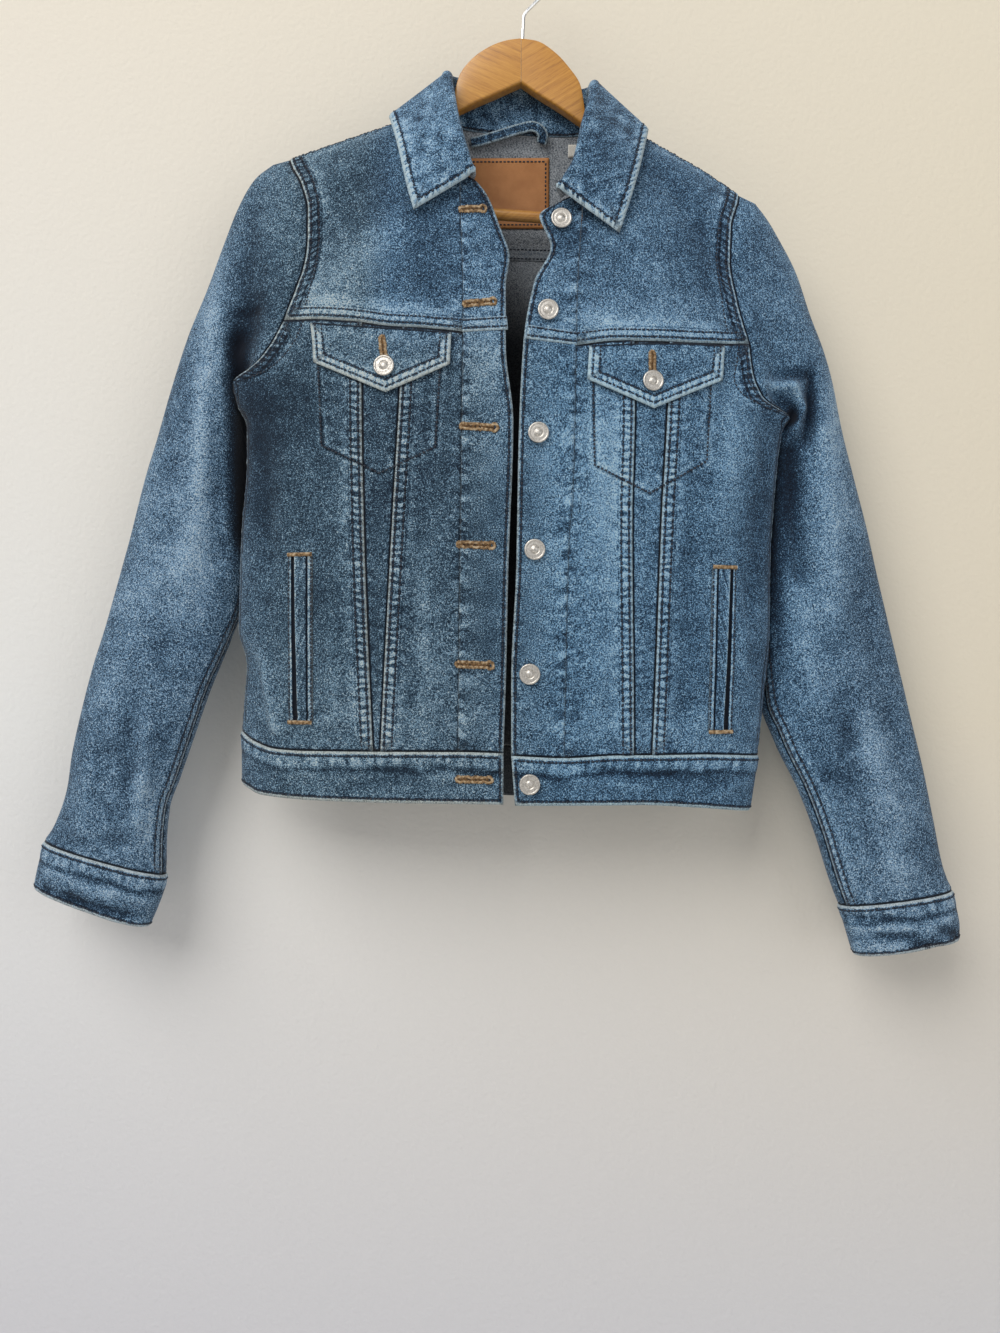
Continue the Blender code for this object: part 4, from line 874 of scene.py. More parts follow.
BACK_TINTS = table(
    "x z rx rz amount",
    (-60, -430, 60, 150, 0.10), (90, -440, 50, 140, 0.08), (10, -620, 150, 40, -0.05),
    (-180, -350, 40, 60, -0.06), (170, -360, 40, 60, -0.06), (0, -215, 120, 28, 0.07),
)


def panel_tints(grid, patches, large, small):
    """The tint of a panel: soft patches, with the crests of folds and creases painted paler and their hollows darker,
    as painted light and shade on the folds.
    """
    x, z = grid[..., 0], grid[..., 2]
    return tint_at(patches, x, z) + 0.035 * folds(large, x, z) + 0.08 * folds(small, x, z)


def back_tints(grid):
    return panel_tints(grid, BACK_TINTS, BACK_FOLDS, BACK_CREASES)


ARMHOLE_LEVELS = {  # the places of the points in each stretch of an armhole
    ("front", "upper"): even(50) ** 1.8,
    ("front", "lower"): even(21),
    ("back", "upper"): even(31) ** 2,
    ("back", "lower"): even(41),
}
armholes = {
    side: {stretch: path(ARMHOLE[side, *stretch], levels) for stretch, levels in ARMHOLE_LEVELS.items()}
    for side in SIDES
}
SIDE_SEAM_ROWS, SHOULDER_COLUMNS, NECK_COLUMNS = 106, 46, 61
side_seams = {side: path(SIDE_SEAM[side], even(SIDE_SEAM_ROWS)) for side in SIDES}
shoulder_ends = {side: np.array((ARMHOLE[side, "front", "upper"][0], NECKLINE[side][0])) for side in SIDES}


def shoulder_line(side, levels):
    """Points of the shoulder seam from the sleeve to the neck."""
    start, end = shoulder_ends[side][:, 0]
    x = start + (end - start) * np.asarray(levels)
    return np.stack([x, np.interp(x, RIDGE["x"], RIDGE["z"])], -1)


def eased(count):
    """Places from 0 to 1 that are closer together near both ends."""
    return (1 - np.cos(np.pi * even(count))) / 2


shoulders = [shoulder_line(side, even(SHOULDER_COLUMNS)) for side in SIDES]
back_top = chain(shoulders[0], path(BACK_NECKLINE, eased(NECK_COLUMNS)), shoulders[1][::-1])
back_seam = path(BACK_YOKE_SEAM, eased(len(back_top)))
grid, normals = body(
    net(back_top, back_seam, armholes["left"]["back", "upper"], armholes["right"]["back", "upper"]), "back")
hung_cloth(
    "back_yoke", grid, normals,
    {"bottom": FELLED, "top": PLAIN, "outer": FELLED, "inner": FELLED},
    tints=back_tints(grid), seed=1,
)
back_sides = {side: chain(armholes[side]["back", "lower"], side_seams[side]) for side in SIDES}
waist_back = path(WAIST_SEAM["back"], eased(len(back_top)))
grid, normals = body(net(back_seam, waist_back, back_sides["left"], back_sides["right"]), "back")
hung_cloth(
    "back_panel", grid, normals, {"top": PLAIN, "bottom": PLAIN, "outer": FELLED, "inner": FELLED},
    tints=back_tints(grid), seed=2,
)

# ---- Front panels -------------------------------------------------------------------------------
# Each front is a yoke, a side front, a narrow panel between two seams that close towards the waist,
# and a centre front. The seams are felled, with two stitch rows and a rubbed, puckered band.

YOKE_SEAM = {
    "left": ((-199, -327), (-163, -330), (-140, -332), (-109, -337), (-78, -339), (-51, -342)),
    "right": ((185, -346), (161, -348), (129, -349), (78, -349), (41, -353)),
}
PLACKET_SEAM = {  # where the button band is stitched, above and below the yoke seam
    "left": (((-54, -206), (-53, -248), (-51, -310), (-51, -342)), ((-51, -342), (-53, -495), (-55, -682))),
    "right": (((48, -222), (45, -260), (42, -308), (41, -353)), ((41, -353), (38, -478), (35, -510), (31, -687))),
}
V_SEAMS = {
    "left": (((-133, -333), (-133, -387), (-131, -495), (-124, -682)),
             ((-100, -337), (-102, -391), (-108, -495), (-118, -682))),
    "right": (((117, -349), (115, -401), (110, -495), (103, -685)),
              ((88, -349), (88, -402), (86, -495), (88, -686))),
}
# Soft patches of paler or darker cloth. Some are faded dye, as above the yoke seams and the waist seam. Others are
# painted shade, as down the left side by the sleeve and under the collar, and painted highlights on lit folds, as
# across the left yoke.
FRONT_TINTS = table(
    "x z rx rz amount",
    (-125, -272, 30, 22, 0.16), (-150, -300, 30, 18, 0.14), (-120, -318, 70, 10, 0.12),
    (-88, -262, 18, 34, -0.10), (120, -322, 60, 12, 0.12), (110, -250, 34, 40, 0.07),
    (150, -290, 18, 40, -0.08), (-190, -430, 40, 60, 0.03), (-222, -420, 16, 60, -0.14),
    (-226, -640, 12, 40, 0.06), (-150, -560, 60, 80, -0.10), (-120, -400, 60, 50, -0.06),
    (62, -560, 20, 100, 0.08), (150, -560, 22, 90, 0.05), (196, -470, 14, 70, -0.12), (180, -640, 20, 40, 0.08),
    (-172, -392, 30, 20, -0.05), (60, -372, 14, 30, -0.05), (-222, -430, 34, 90, -0.22),
    (-205, -400, 40, 40, -0.10), (-95, -430, 60, 60, -0.06), (60, -330, 60, 8, 0.16), (-60, -322, 30, 7, 0.14),
    (-110, -660, 90, 18, 0.10), (120, -665, 90, 16, 0.10), (168, -440, 12, 60, 0.16), (40, -230, 40, 30, -0.06),
    (60, -460, 30, 80, 0.10), (-130, -450, 90, 130, -0.10), (-120, -240, 60, 50, -0.06),
    (70, -560, 50, 120, 0.06), (-83, -590, 8, 60, 0.24), (-97, -600, 6, 60, -0.08), (-204, -640, 9, 30, 0.18),
    (60, -450, 20, 110, 0.10), (18, -450, 13, 120, 0.12), (-35, -368, 13, 32, 0.20), (-32, -460, 12, 40, 0.10),
    (-28, -318, 9, 7, 0.30), (-35, -560, 18, 110, -0.10), (-30, -232, 24, 12, -0.30), (24, -262, 16, 22, -0.12),
)
BAG_OUTLINE = {
    "left": ((-169, -362), (-166, -433), (-118, -457), (-73, -436), (-69, -368)),
    "right": ((54, -376), (55, -451), (100, -473), (147, -446), (151, -376)),
}
LOWER_ROWS = len(armholes["left"]["front", "lower"]) + len(side_seams["left"]) - 1
DENSE, OUTLINE_DENSE = 400, 300  # points along a curve that is then looked up
PANEL_COLUMNS = {"side_front": even(52) ** 1.6, "v_panel": even(15), "centre_front": even(24)}


def height_at(curve, x):
    """The height at x of a curve that runs across the body."""
    dense = path(curve, even(DENSE))
    order = np.argsort(dense[:, 0])
    return np.interp(x, dense[order, 0], dense[order, 1])


def part_of(curve, start, end, levels):
    """The stretch of a curve between two values of x, at the given fractions of that stretch."""
    x = start + (end - start) * np.asarray(levels)
    return np.stack([x, height_at(curve, x)], -1)


def front_tints(grid):
    return panel_tints(grid, FRONT_TINTS, FRONT_FOLDS, FRONT_CREASES)


def bag_marks(grid, side):
    """(height, tint) that the pocket bag behind a panel gives it: raised inside the bag's sewn
    outline, rubbed pale and puckered along it, and painted dark on the sewn line itself as painted shade of its
    groove."""
    dense = straight(BAG_OUTLINE[side], even(OUTLINE_DENSE))
    x, z = grid[..., 0], grid[..., 2]
    gaps = np.hypot(x[..., None] - dense[:, 0], z[..., None] - dense[:, 1])
    place, gap = gaps.argmin(axis=-1), gaps.min(axis=-1)
    lowest = np.interp(x, *dense[np.argsort(dense[:, 0])].T)
    within = (x > dense[:, 0].min()) & (x < dense[:, 0].max()) & (z > lowest)
    raised = np.where(within, np.clip(gap / 2.5, 0, 1), 0)
    waves = ripples(place * reaches(dense)[-1] / OUTLINE_DENSE, 5 if side == "left" else 6, 8.0)
    rubbed = np.exp(-(((gap - 2.4) / 1.8) ** 2))
    inner = within * np.exp(-(((gap - 6) / 5) ** 2))
    marks = 0.26 * rubbed + 0.14 * waves * inner - 0.5 * np.exp(-((gap / 1.0) ** 2))
    return 0.55 * raised + 0.25 * waves * inner, marks


def armhole_dye(grid, length=ENDLESS):
    """The felled band round the armhole keeps more of its dye than the cloth beside it."""
    away, along = border_reaches(grid)["outer"]
    return -0.30 * np.clip((12.5 - away) / 2, 0, 1) * np.clip(away / 3 - 0.4, 0, 1) * (along < length)


waists, placket_seams = {}, {}
for number, side in enumerate(SIDES):
    armhole = armholes[side]
    lower_length = float(reaches(armhole["front", "lower"])[-1])
    upright = [
        chain(armhole["front", "lower"], side_seams[side]),
        *(path(curve, even(LOWER_ROWS)) for curve in V_SEAMS[side]),
        path(PLACKET_SEAM[side][1], even(LOWER_ROWS)),
    ]
    for line in upright[1:]:
        line[0, 1] = height_at(YOKE_SEAM[side], line[0, 0])
        line[-1, 1] = height_at(WAIST_SEAM[side], line[-1, 0])
    sewing = {
        "side_front": {"inner": FELLED, "top": PLAIN, "bottom": PLAIN,
                       "outer": edge(11.0, (2.9, 9.2), 0.5, stop=lower_length)},
        "v_panel": dict.fromkeys((*DOWN, *ACROSS), PLAIN),
        "centre_front": {"outer": FELLED, "inner": edge(pucker=0.7, wave=11, rim=-0.1, gain=1.2),
                         "top": PLAIN, "bottom": PLAIN},
    }
    tops, bottoms = [], []
    for (name, levels), outer, inner in zip(PANEL_COLUMNS.items(), upright, upright[1:]):
        tops.append(part_of(YOKE_SEAM[side], outer[0, 0], inner[0, 0], levels))
        bottoms.append(part_of(WAIST_SEAM[side], outer[-1, 0], inner[-1, 0], levels))
        grid, normals = body(net(tops[-1], bottoms[-1], outer, inner), "front")
        # The bag's tint includes the painted shade line along its stitching.
        raised, rubbed = bag_marks(grid, side)
        if name == "side_front":
            rubbed = rubbed + armhole_dye(grid, lower_length)
        hung_cloth(f"{name}_{side}", grid, normals, sewing[name], tints=front_tints(grid) + rubbed, quilt=raised,
                   seed=10 + 4 * number + len(tops))

    yoke_bottom = chain(*tops)
    inner_curve = chain(path(NECKLINE[side], even(80)), path(PLACKET_SEAM[side][0], even(120)))
    inner_border = straight(inner_curve, even(50) ** 1.8)
    shoulder = shoulder_line(side, fractions(yoke_bottom))
    grid, normals = body(net(shoulder, yoke_bottom, armhole["front", "upper"], inner_border), "front")
    pale_line = 0.16 * np.exp(-(((border_reaches(grid)["bottom"][0] - 15) / 4.5) ** 2))  # above the band
    hung_cloth(
        f"front_yoke_{side}", grid, normals,
        {"bottom": edge(11.0, (3.4, 9.0), 0.25, rim=1.5, gain=0.35), "top": edge(9.0, (2.4, 7.4), 0.3, gain=0.5),
         "outer": edge(11.0, (2.9, 9.2), 0.4, gain=0.8), "inner": edge(pucker=0.4, rim=-0.1)},
        tints=front_tints(grid) + armhole_dye(grid) + pale_line,
        seed=10 + 4 * number,
    )
    placket_seams[side] = chain(path(PLACKET_SEAM[side][0], even(55)), upright[-1])
    waists[side] = bottoms

# ---- Plackets -----------------------------------------------------------------------------------
# The front edges carry the buttons and buttonholes: a folded strip of denim, stitched along its
# inner seam and beside its free edge.

FRONT_EDGE = {
    "left": (
        (-40, -215), (-31, -228), (-20, -257), (-13, -280), (-16, -305), (-16, -354), (-10, -415),
        (-14, -534), (-16, -625), (-18, -683)),
    "right": (
        (26, -234), (11, -245), (20, -272), (7, -300), (-2, -349), (-6, -429), (-8, -534),
        (-12, -625), (-12, -685)),
}
YOKE_ON_PLACKET = {
    "left": (((-51.4, -331.3), (-15.2, -329.3)), ((-51.4, -342.6), (-14.2, -340.8))),
    "right": (((41.4, -342.3), (1.6, -336.5)), ((41.4, -353.4), (0.0, -348.2))),
}
for number, side in enumerate(SIDES):
    seam_line = placket_seams[side]
    edge_line = path(FRONT_EDGE[side], fractions(seam_line))
    top = straight((seam_line[0], edge_line[0]), even(18))
    bottom = part_of(WAIST_SEAM[side], seam_line[-1, 0], edge_line[-1, 0], even(18))
    waists[side] = chain(*waists[side], bottom)
    grid, normals = body(net(top, bottom, seam_line, edge_line), "front")
    blotches = ripples(grid[..., 2], 75 + number, 24) * np.exp(-((border_reaches(grid)["outer"][0] / 12) ** 2))
    hung_cloth(
        f"placket_{side}", grid, normals,
        {"outer": edge(0, (), 0.6, 12, rim=0.15, gain=1.4), "inner": edge(0, (3.4,), 0.3, 14, free=True),
         "top": PLAIN, "bottom": PLAIN},
        TRIM_DENIM,
        tints=front_tints(grid) + 0.16 * blotches, seed=30 + number,
    )
    # The yoke's felled band goes on across the strip to its free edge.
    upper, lower = (straight(ends, even(22)) for ends in YOKE_ON_PLACKET[side])
    strip, normals = body(net(upper, lower, *(straight((upper[i], lower[i]), even(9)) for i in (0, -1))), "front")
    # The band is painted paler all over: rubbed wear together with a painted highlight on the raised band.
    hung_cloth(
        f"placket_{side}_yoke_band", strip + 0.95 * normals, normals,
        {"bottom": edge(0, (3.0,), 0.2, 7, free=True, rim=1.4), "top": edge(0, (1.8,), 0.2, 7, free=True, rim=0.5),
         "inner": edge(0, (), 0.1, free=True)},
        TRIM_DENIM, 0.9, tints=0.28,
        seed=34 + number, added=True,
    )

# ---- Sleeves ------------------------------------------------------------------------------------
# Two-piece sleeves, sewn into the armholes with a felled seam. The top sleeve wraps the front and
# outside, and the under sleeve closes the back with a second felled seam down the inner edge.

SLEEVE_POWER = 2.3
SLEEVE = {
    "left": table(
        "ox oz ix iz y front back round",
        (-214, -186, -250, -373.5, 2, 16, 14, 0.12), (-229, -197, -249, -376, 5, 19, 16, 0.28),
        (-243, -218, -247, -380, 8, 22, 18, 0.46), (-258, -252, -244.5, -388, 11, 24, 18, 0.66),
        (-273, -290, -240.5, -400, 13, 26, 18, 0.84), (-288, -325, -237, -416, 15, 28, 18, 1.0),
        (-303, -370, -235, -436, 16, 30, 18, 1.0), (-316, -416, -235, -460, 15, 29, 19, 1.0),
        (-328, -457, -236, -484, 14, 28, 20, 1.0), (-338, -496, -238, -515, 14, 27, 20, 1.0),
        (-348, -535, -242, -556, 12, 26, 20, 1.0), (-359, -578, -253, -591, 9, 25, 20, 1.0),
        (-370, -616, -270, -634, 7, 25, 20, 1.0), (-379, -653, -283, -672, 6, 25, 20, 1.0),
        (-387, -688, -296, -709, 7, 24, 19, 1.0), (-391, -716, -305, -735, 7, 23, 19, 1.0),
        (-402, -747, -308, -771, 8, 22, 18, 1.0), (-411, -762, -308, -791, 8, 21, 18, 1.0),
    ),
    "right": table(
        "ox oz ix iz y front back round",
        (196, -219, 227, -403, 3, 16, 14, 0.12), (206, -231, 225, -405.5, 6, 19, 16, 0.28),
        (217, -247, 222.5, -409.5, 10, 22, 17, 0.46), (233, -275, 220, -415.5, 13, 24, 17, 0.66),
        (246, -310, 217.5, -424, 15, 26, 17, 0.84), (257, -337, 215.5, -435, 17, 28, 17, 1.0),
        (265, -364, 213.5, -450, 17, 28, 17, 1.0), (274, -408, 211, -472, 17, 27, 18, 1.0),
        (284, -449, 208.5, -492, 16, 27, 19, 1.0), (294, -487, 206.5, -517, 16, 26, 19, 1.0),
        (305, -535, 205.5, -550, 16, 26, 19, 1.0), (317, -585, 205, -602, 16, 25, 19, 1.0),
        (326, -624, 205, -642, 15, 24, 19, 1.0), (334, -661, 216, -677, 13, 24, 19, 1.0),
        (343, -704, 236, -719, 10, 24, 19, 1.0), (351, -746, 250, -756, 9, 23, 19, 1.0),
        (358, -782, 261, -792, 8, 22, 18, 1.0), (366, -804, 270, -817, 8, 21, 18, 1.0),
    ),
}
SLEEVE_FOLDS = {
    "left": table(
        "x0 z0 x1 z1 width height",
        (-258, -322, -286, -548, 12, 4.5), (-229, -318, -238, -372, 9, -6.0),
        (-240, -385, -238, -505, 6, -15.0), (-253, -345, -253, -500, 4, 2.4), (-242, -340, -246, -372, 6, -5.0),
        (-222, -314, -240, -322, 5, -2.5), (-226, -236, -236, -296, 13, -3.2),
        (-252, -420, -258, -520, 8, -2.2), (-296, -560, -312, -640, 11, -2.6), (-312, -612, -318, -712, 6, 3.0),
        (-322, -712, -330, -770, 8, 2.6), (-326, -630, -333, -712, 7, -2.4), (-350, -690, -356, -740, 9, -2.0),
        (-366, -700, -374, -748, 8, 1.8),
    ),
    "right": table(
        "x0 z0 x1 z1 width height",
        (238, -386, 236, -420, 6, -4.5), (198, -381, 224, -378, 4, 4.5), (226, -379, 234, -395, 4, 5.0),
        (234, -397, 222, -424, 4, 4.5), (241.5, -372, 239, -420, 3, -5.0), (226, -400, 222, -408, 4, -5.0),
        (208, -369, 240, -367, 3.5, -3.5), (252, -420, 262, -560, 13, 4.0), (226, -432, 234, -530, 7, -6.0),
        (290, -560, 312, -680, 14, -2.4), (240, -600, 262, -690, 9, 2.2), (296, -690, 318, -780, 11, 2.8),
        (282, -700, 296, -776, 7, -2.0),
    ),
}
SLEEVE_CREASES = {
    "left": table(
        "x0 z0 x1 z1 width height",
        (-222, -330, -262, -352, 7, -1.4), (-236, -352, -276, -376, 7, 1.5), (-270, -420, -318, -440, 9, 1.0),
        (-262, -470, -300, -500, 8, -1.2), (-292, -530, -340, -556, 8, 1.1), (-276, -590, -318, -600, 7, -1.1),
        (-330, -600, -352, -640, 8, 1.0), (-318, -740, -372, -752, 6, 1.2), (-330, -760, -392, -758, 6, -1.0),
        (-352, -650, -362, -700, 6, -0.9),
    ),
    "right": table(
        "x0 z0 x1 z1 width height",
        (205, -372, 236, -388, 6, 1.6), (222, -402, 250, -416, 7, 1.2), (252, -470, 288, -496, 8, 1.1),
        (236, -540, 284, -566, 8, -1.3), (262, -610, 316, -632, 9, 1.2), (246, -656, 290, -676, 7, -1.1),
        (300, -720, 338, -742, 7, 1.0), (272, -770, 330, -786, 6, 1.1), (310, -650, 326, -700, 7, -0.9),
    ),
}
# Soft patches of paler or darker cloth: painted shade in the armpit folds and hollows, where the near-black ones lie,
# painted highlights along the lit ridges of the sleeves, and some faded patches.
SLEEVE_TINTS = {
    "left": table(
        "x z rx rz amount",
        (-262, -300, 26, 60, 0.08), (-300, -480, 22, 110, 0.10), (-350, -660, 24, 90, 0.08),
        (-244, -450, 14, 110, -0.20), (-215, -240, 18, 40, 0.05), (-336, -690, 10, 60, -0.12),
        (-370, -775, 50, 12, 0.10), (-241, -354, 6, 22, -1.0), (-230, -316, 13, 3.5, -0.45),
        (-232, -335, 10, 10, -0.2), (-222, -300, 22, 40, -0.18), (-262, -320, 7, 50, 0.20),
        (-272, -430, 7, 90, 0.20), (-302, -420, 10, 80, -0.12), (-262, -600, 16, 70, -0.12),
        (-322, -735, 10, 40, 0.16), (-238, -448, 6.5, 62, -1.9), (-290, -540, 30, 80, 0.10),
        (-268, -540, 12, 60, 0.14), (-330, -560, 16, 70, 0.10),
    ),
    "right": table(
        "x z rx rz amount",
        (226, -290, 24, 60, 0.10), (262, -470, 20, 100, 0.12), (320, -700, 26, 90, 0.08),
        (222, -455, 9, 50, -0.60), (296, -620, 22, 60, 0.05), (318, -800, 50, 12, 0.10),
        (209, -500, 5, 60, -0.7), (242, -392, 5, 24, -0.55), (232, -366, 12, 7, -0.30),
        (214, -379, 14, 4, 0.22), (230, -387, 4, 9, 0.26), (229, -411, 5, 12, 0.20), (226, -402, 4, 6, -1.8),
        (217, -392, 8, 5, -0.2), (266, -380, 12, 70, 0.22), (214, -560, 7, 70, -0.45),
        (236, -571, 18, 60, 0.18), (272, -668, 8, 30, -0.18), (289, -671, 12, 28, 0.22),
        (261, -705, 16, 8, -0.18), (299, -743, 22, 40, 0.10), (340, -700, 12, 70, -0.08),
    ),
}


def armhole_ring(side):
    """(points, normals) round the armhole: down its front from the shoulder, then up its back."""
    borders = armholes[side]
    front = body(chain(borders["front", "upper"], borders["front", "lower"]), "front")
    back = body(chain(borders["back", "upper"], borders["back", "lower"])[::-1], "back")
    return [np.vstack([a, b[1:-1]]) for a, b in zip(front, back)]


SEAM_TURN = {"left": 0.26, "right": 0.44}
SLEEVE_ROWS = 196
BACK_SEAM_STEPS = 32  # from the underarm up the back of the armhole to the back seam


def sleeve_rings(side, sections, start, rows, turn, folded=True):
    """Rings that turn from the armhole's outline into flattened ovals, blended by each section's `round`,
    with the seams moved round towards the front by the angles `turn`."""
    names = list(sections)
    values = np.stack([sections[name] for name in names], -1)
    reach = fractions(values[:, :4])
    sections = {name: smooth(reach, column, rows) for name, column in zip(names, values.T)}
    lowest = int(np.argmin(start[:, 2]))
    top, bottom = start[0], start[lowest]
    chord = bottom - top
    length = math.hypot(chord[0], chord[2])
    down = chord / length
    beside = np.array((-down[2], 0.0, down[0]))
    reach = fractions(np.vstack([start, start[:1]]))[:-1]
    half = reach[lowest]
    angle = np.where(reach <= half, math.pi * reach / half, math.pi * (1 + (reach - half) / (1 - half)))
    along_start = (start - top) @ down / length
    beside_start = (start - top) @ beside
    power = 2 / SLEEVE_POWER
    angle = angle[None, :] - np.asarray(turn)[:, None]
    along_oval = (1 - np.sign(np.cos(angle)) * np.abs(np.cos(angle)) ** power) / 2
    swell = np.sign(np.sin(angle)) * np.abs(np.sin(angle)) ** power
    outer = np.stack([sections["ox"], np.zeros(len(rows)), sections["oz"]], -1)[:, None]
    inner = np.stack([sections["ix"], np.zeros(len(rows)), sections["iz"]], -1)[:, None]
    turned = sections["round"][:, None]
    run = unit(inner - outer)
    across = np.stack([-run[..., 2], np.zeros((len(rows), 1)), run[..., 0]], -1)
    along = (1 - turned) * along_start + turned * along_oval
    depth = sections["y"][:, None] - np.where(swell > 0, sections["front"][:, None], sections["back"][:, None]) * swell
    rings = outer + along[..., None] * (inner - outer) + ((1 - turned) * beside_start)[..., None] * across
    rings[..., 1] = (1 - turned) * start[:, 1] + turned * depth
    if folded:
        x, z = rings[..., 0], rings[..., 2]
        raised = folds(SLEEVE_FOLDS[side], x, z) * np.clip(2.5 * swell, 0, 1)
        small = folds(SLEEVE_CREASES[side], x, z) * np.clip(1.5 * np.abs(swell), 0, 1) * np.sign(swell)
        rings[..., 1] -= raised + small * np.where(swell > 0, 1, 0.8)
    return rings


def outward(points, normals):
    """The normals of a tube's grid, turned to face away from its middle line."""
    away = points - points.mean(axis=1, keepdims=True)
    return normals if (away * normals).sum(-1).mean() > 0 else -normals


openings, sleeve_ends = {}, {}
for number, side in enumerate(SIDES):
    opening, opening_normals = armhole_ring(side)
    openings[side] = opening
    levels = even(SLEEVE_ROWS)
    turn = SEAM_TURN[side] * np.clip((levels - 0.42) / 0.28, 0, 1) ** 1.5
    rings = np.concatenate([opening[None], sleeve_rings(side, SLEEVE[side], opening, levels, turn)])
    normals = outward(rings, grid_normals(rings, wrap=True))
    normals[0] = unit(normals[0] + opening_normals)
    count = rings.shape[1]
    first = sum(len(ARMHOLE_LEVELS["front", part]) - 1 for part in ("upper", "lower"))  # the underarm point
    second = first + BACK_SEAM_STEPS
    under = np.arange(first, second + 1)
    over = np.arange(second, count + first + 1) % count
    x, z = rings[..., 0], rings[..., 2]
    # The crests of the sleeve's folds and creases are painted paler and their hollows darker, as painted light and
    # shade.
    tints = tint_at(SLEEVE_TINTS[side], x, z) + 0.035 * folds(SLEEVE_FOLDS[side], x, z)
    tints = (tints + 0.07 * folds(SLEEVE_CREASES[side], x, z)) * np.where(np.arange(count) < first + 5, 1, 0.4)
    hung_cloth(
        f"sleeve_top_{side}", rings[:, over], normals[:, over],
        {"top": PLAIN, "bottom": PLAIN, "outer": edge(9.0, (2.4, 7.6), 0.4, gain=0.6),
         "inner": edge(9.0, (2.4, 7.6), 0.4, 9, 0.6, rim=0.7, gain=0.55)},
        tints=tints[:, over], seed=40 + number,
    )
    hung_cloth(
        f"sleeve_under_{side}", rings[:, under], normals[:, under],
        dict.fromkeys(ENDS_OF, PLAIN), tints=tints[:, under], seed=44 + number,
    )
    sleeve_ends[side] = rings[-1]

# ---- Cuffs --------------------------------------------------------------------------------------
# Bands of double denim round the sleeve ends, stitched along both edges, rubbed and crumpled. A step
# runs round them where the cloth is turned in.

DOUBLE_CLOTH = 2.4
TURNED_WIDTH = 13.0
CUFF_ROWS = 22
CUFF_RAISE = 0.6
CUFF = {
    "left": table(
        "ox oz ix iz y front back round",
        (-411, -762, -308, -791, 8, 21, 18, 1.0), (-414, -774, -310, -803, 8, 21.5, 18, 1.0),
        (-417.5, -789, -316, -820, 8, 22, 18, 1.0), (-420, -802, -323, -836, 8, 21, 17, 1.0),
    ),
    "right": table(
        "ox oz ix iz y front back round",
        (366, -804, 270, -817, 8, 21, 18, 1.0), (369, -817, 274, -829, 8, 21.5, 18, 1.0),
        (372, -832, 279, -846, 8, 22, 18, 1.0), (373, -846, 283, -860, 8, 21, 17, 1.0),
    ),
}


def turned_in(away, along, seed):
    """(height, tint) of a band whose turned-in edge shows as a step below its seam, pale above the step
    and painted darker in the crease under it, as painted shade."""
    down = away - TURNED_WIDTH - 1.2 * ripples(along, seed, 46)
    step = 1 / (1 + np.exp(down / 0.9))
    waves = ripples(along, seed + 1, 9.0) * np.exp(-(((down + 5) / 5) ** 2))
    return 0.6 * step + 0.2 * waves, 0.18 * step - 0.34 * np.exp(-(((down - 2.0) / 2.0) ** 2)) + 0.22 * waves


CUFF_CREASES = {
    "left": table(
        "x0 z0 x1 z1 width height",
        (-400, -786, -352, -804, 5, 1.0), (-382, -806, -336, -822, 3.5, -1.5), (-346, -802, -322, -812, 4, 1.0),
        (-404, -800, -372, -812, 4, -1.3), (-350, -826, -330, -830, 4, 1.2),
    ),
    "right": table(
        "x0 z0 x1 z1 width height",
        (268, -826, 305, -824, 3, -1.6), (276, -834, 322, -832, 4, 1.3), (330, -846, 350, -850, 5, -2.2),
        (352, -834, 366, -840, 4, -2.0), (336, -838, 356, -826, 5, 1.5), (283, -852, 318, -848, 5, 1.3),
        (300, -840, 340, -838, 3, -1.2),
    ),
}
for number, side in enumerate(SIDES):
    turn = np.full(CUFF_ROWS, SEAM_TURN[side])
    cuff = sleeve_rings(side, CUFF[side], openings[side], even(CUFF_ROWS), turn, folded=False)
    cuff[0] = sleeve_ends[side] + (cuff[1] - cuff[0]) * 0.05
    normals = outward(cuff, grid_normals(cuff, wrap=True))
    front = np.clip(8 - cuff[..., 1], 0, 8) / 8
    crumple = folds(CUFF_CREASES[side], cuff[..., 0], cuff[..., 2]) * front
    step, tints = turned_in(*border_reaches(cuff)["top"], 52 + number)
    # The crumples' crests are painted paler and their hollows darker, as painted light and shade on the folds.
    hung_cloth(
        f"cuff_{side}", cuff + CUFF_RAISE * normals, normals,
        {"top": edge(0, (3.9,), 0.3, 10, free=True, rim=1.6), "bottom": edge(0, (3.6,), 0.5, 13, free=True, rim=2.2)},
        TRIM_DENIM, DOUBLE_CLOTH, wrap=True,
        seed=50 + number, quilt=crumple + step, tints=0.20 * crumple + tints,
    )

# ---- Waistband ----------------------------------------------------------------------------------
# One strip of double denim round the hem, open in front. It is stitched along both edges and ends,
# and has the cuffs' step.

BAND_RAISE = 0.6
BAND_ROWS = 20
HEM = {
    "left": ((-240, -712), (-218, -720), (-162, -723), (-18, -725)),
    "right": ((191.5, -735), (140, -729), (91, -726), (-9, -726)),
    "back": ((-240, -712), (-150, -719), (0, -726), (110, -731), (191.5, -735)),
}
waists["back"] = waist_back


def band_part(key, face):
    """(points, normals) of the waistband over one stretch, from the waist seam down to the hem."""
    top = waists[key]
    bottom = path(HEM[key], fractions(top))
    share = even(BAND_ROWS)[:, None, None]
    return body((1 - share) * top + share * bottom, face)


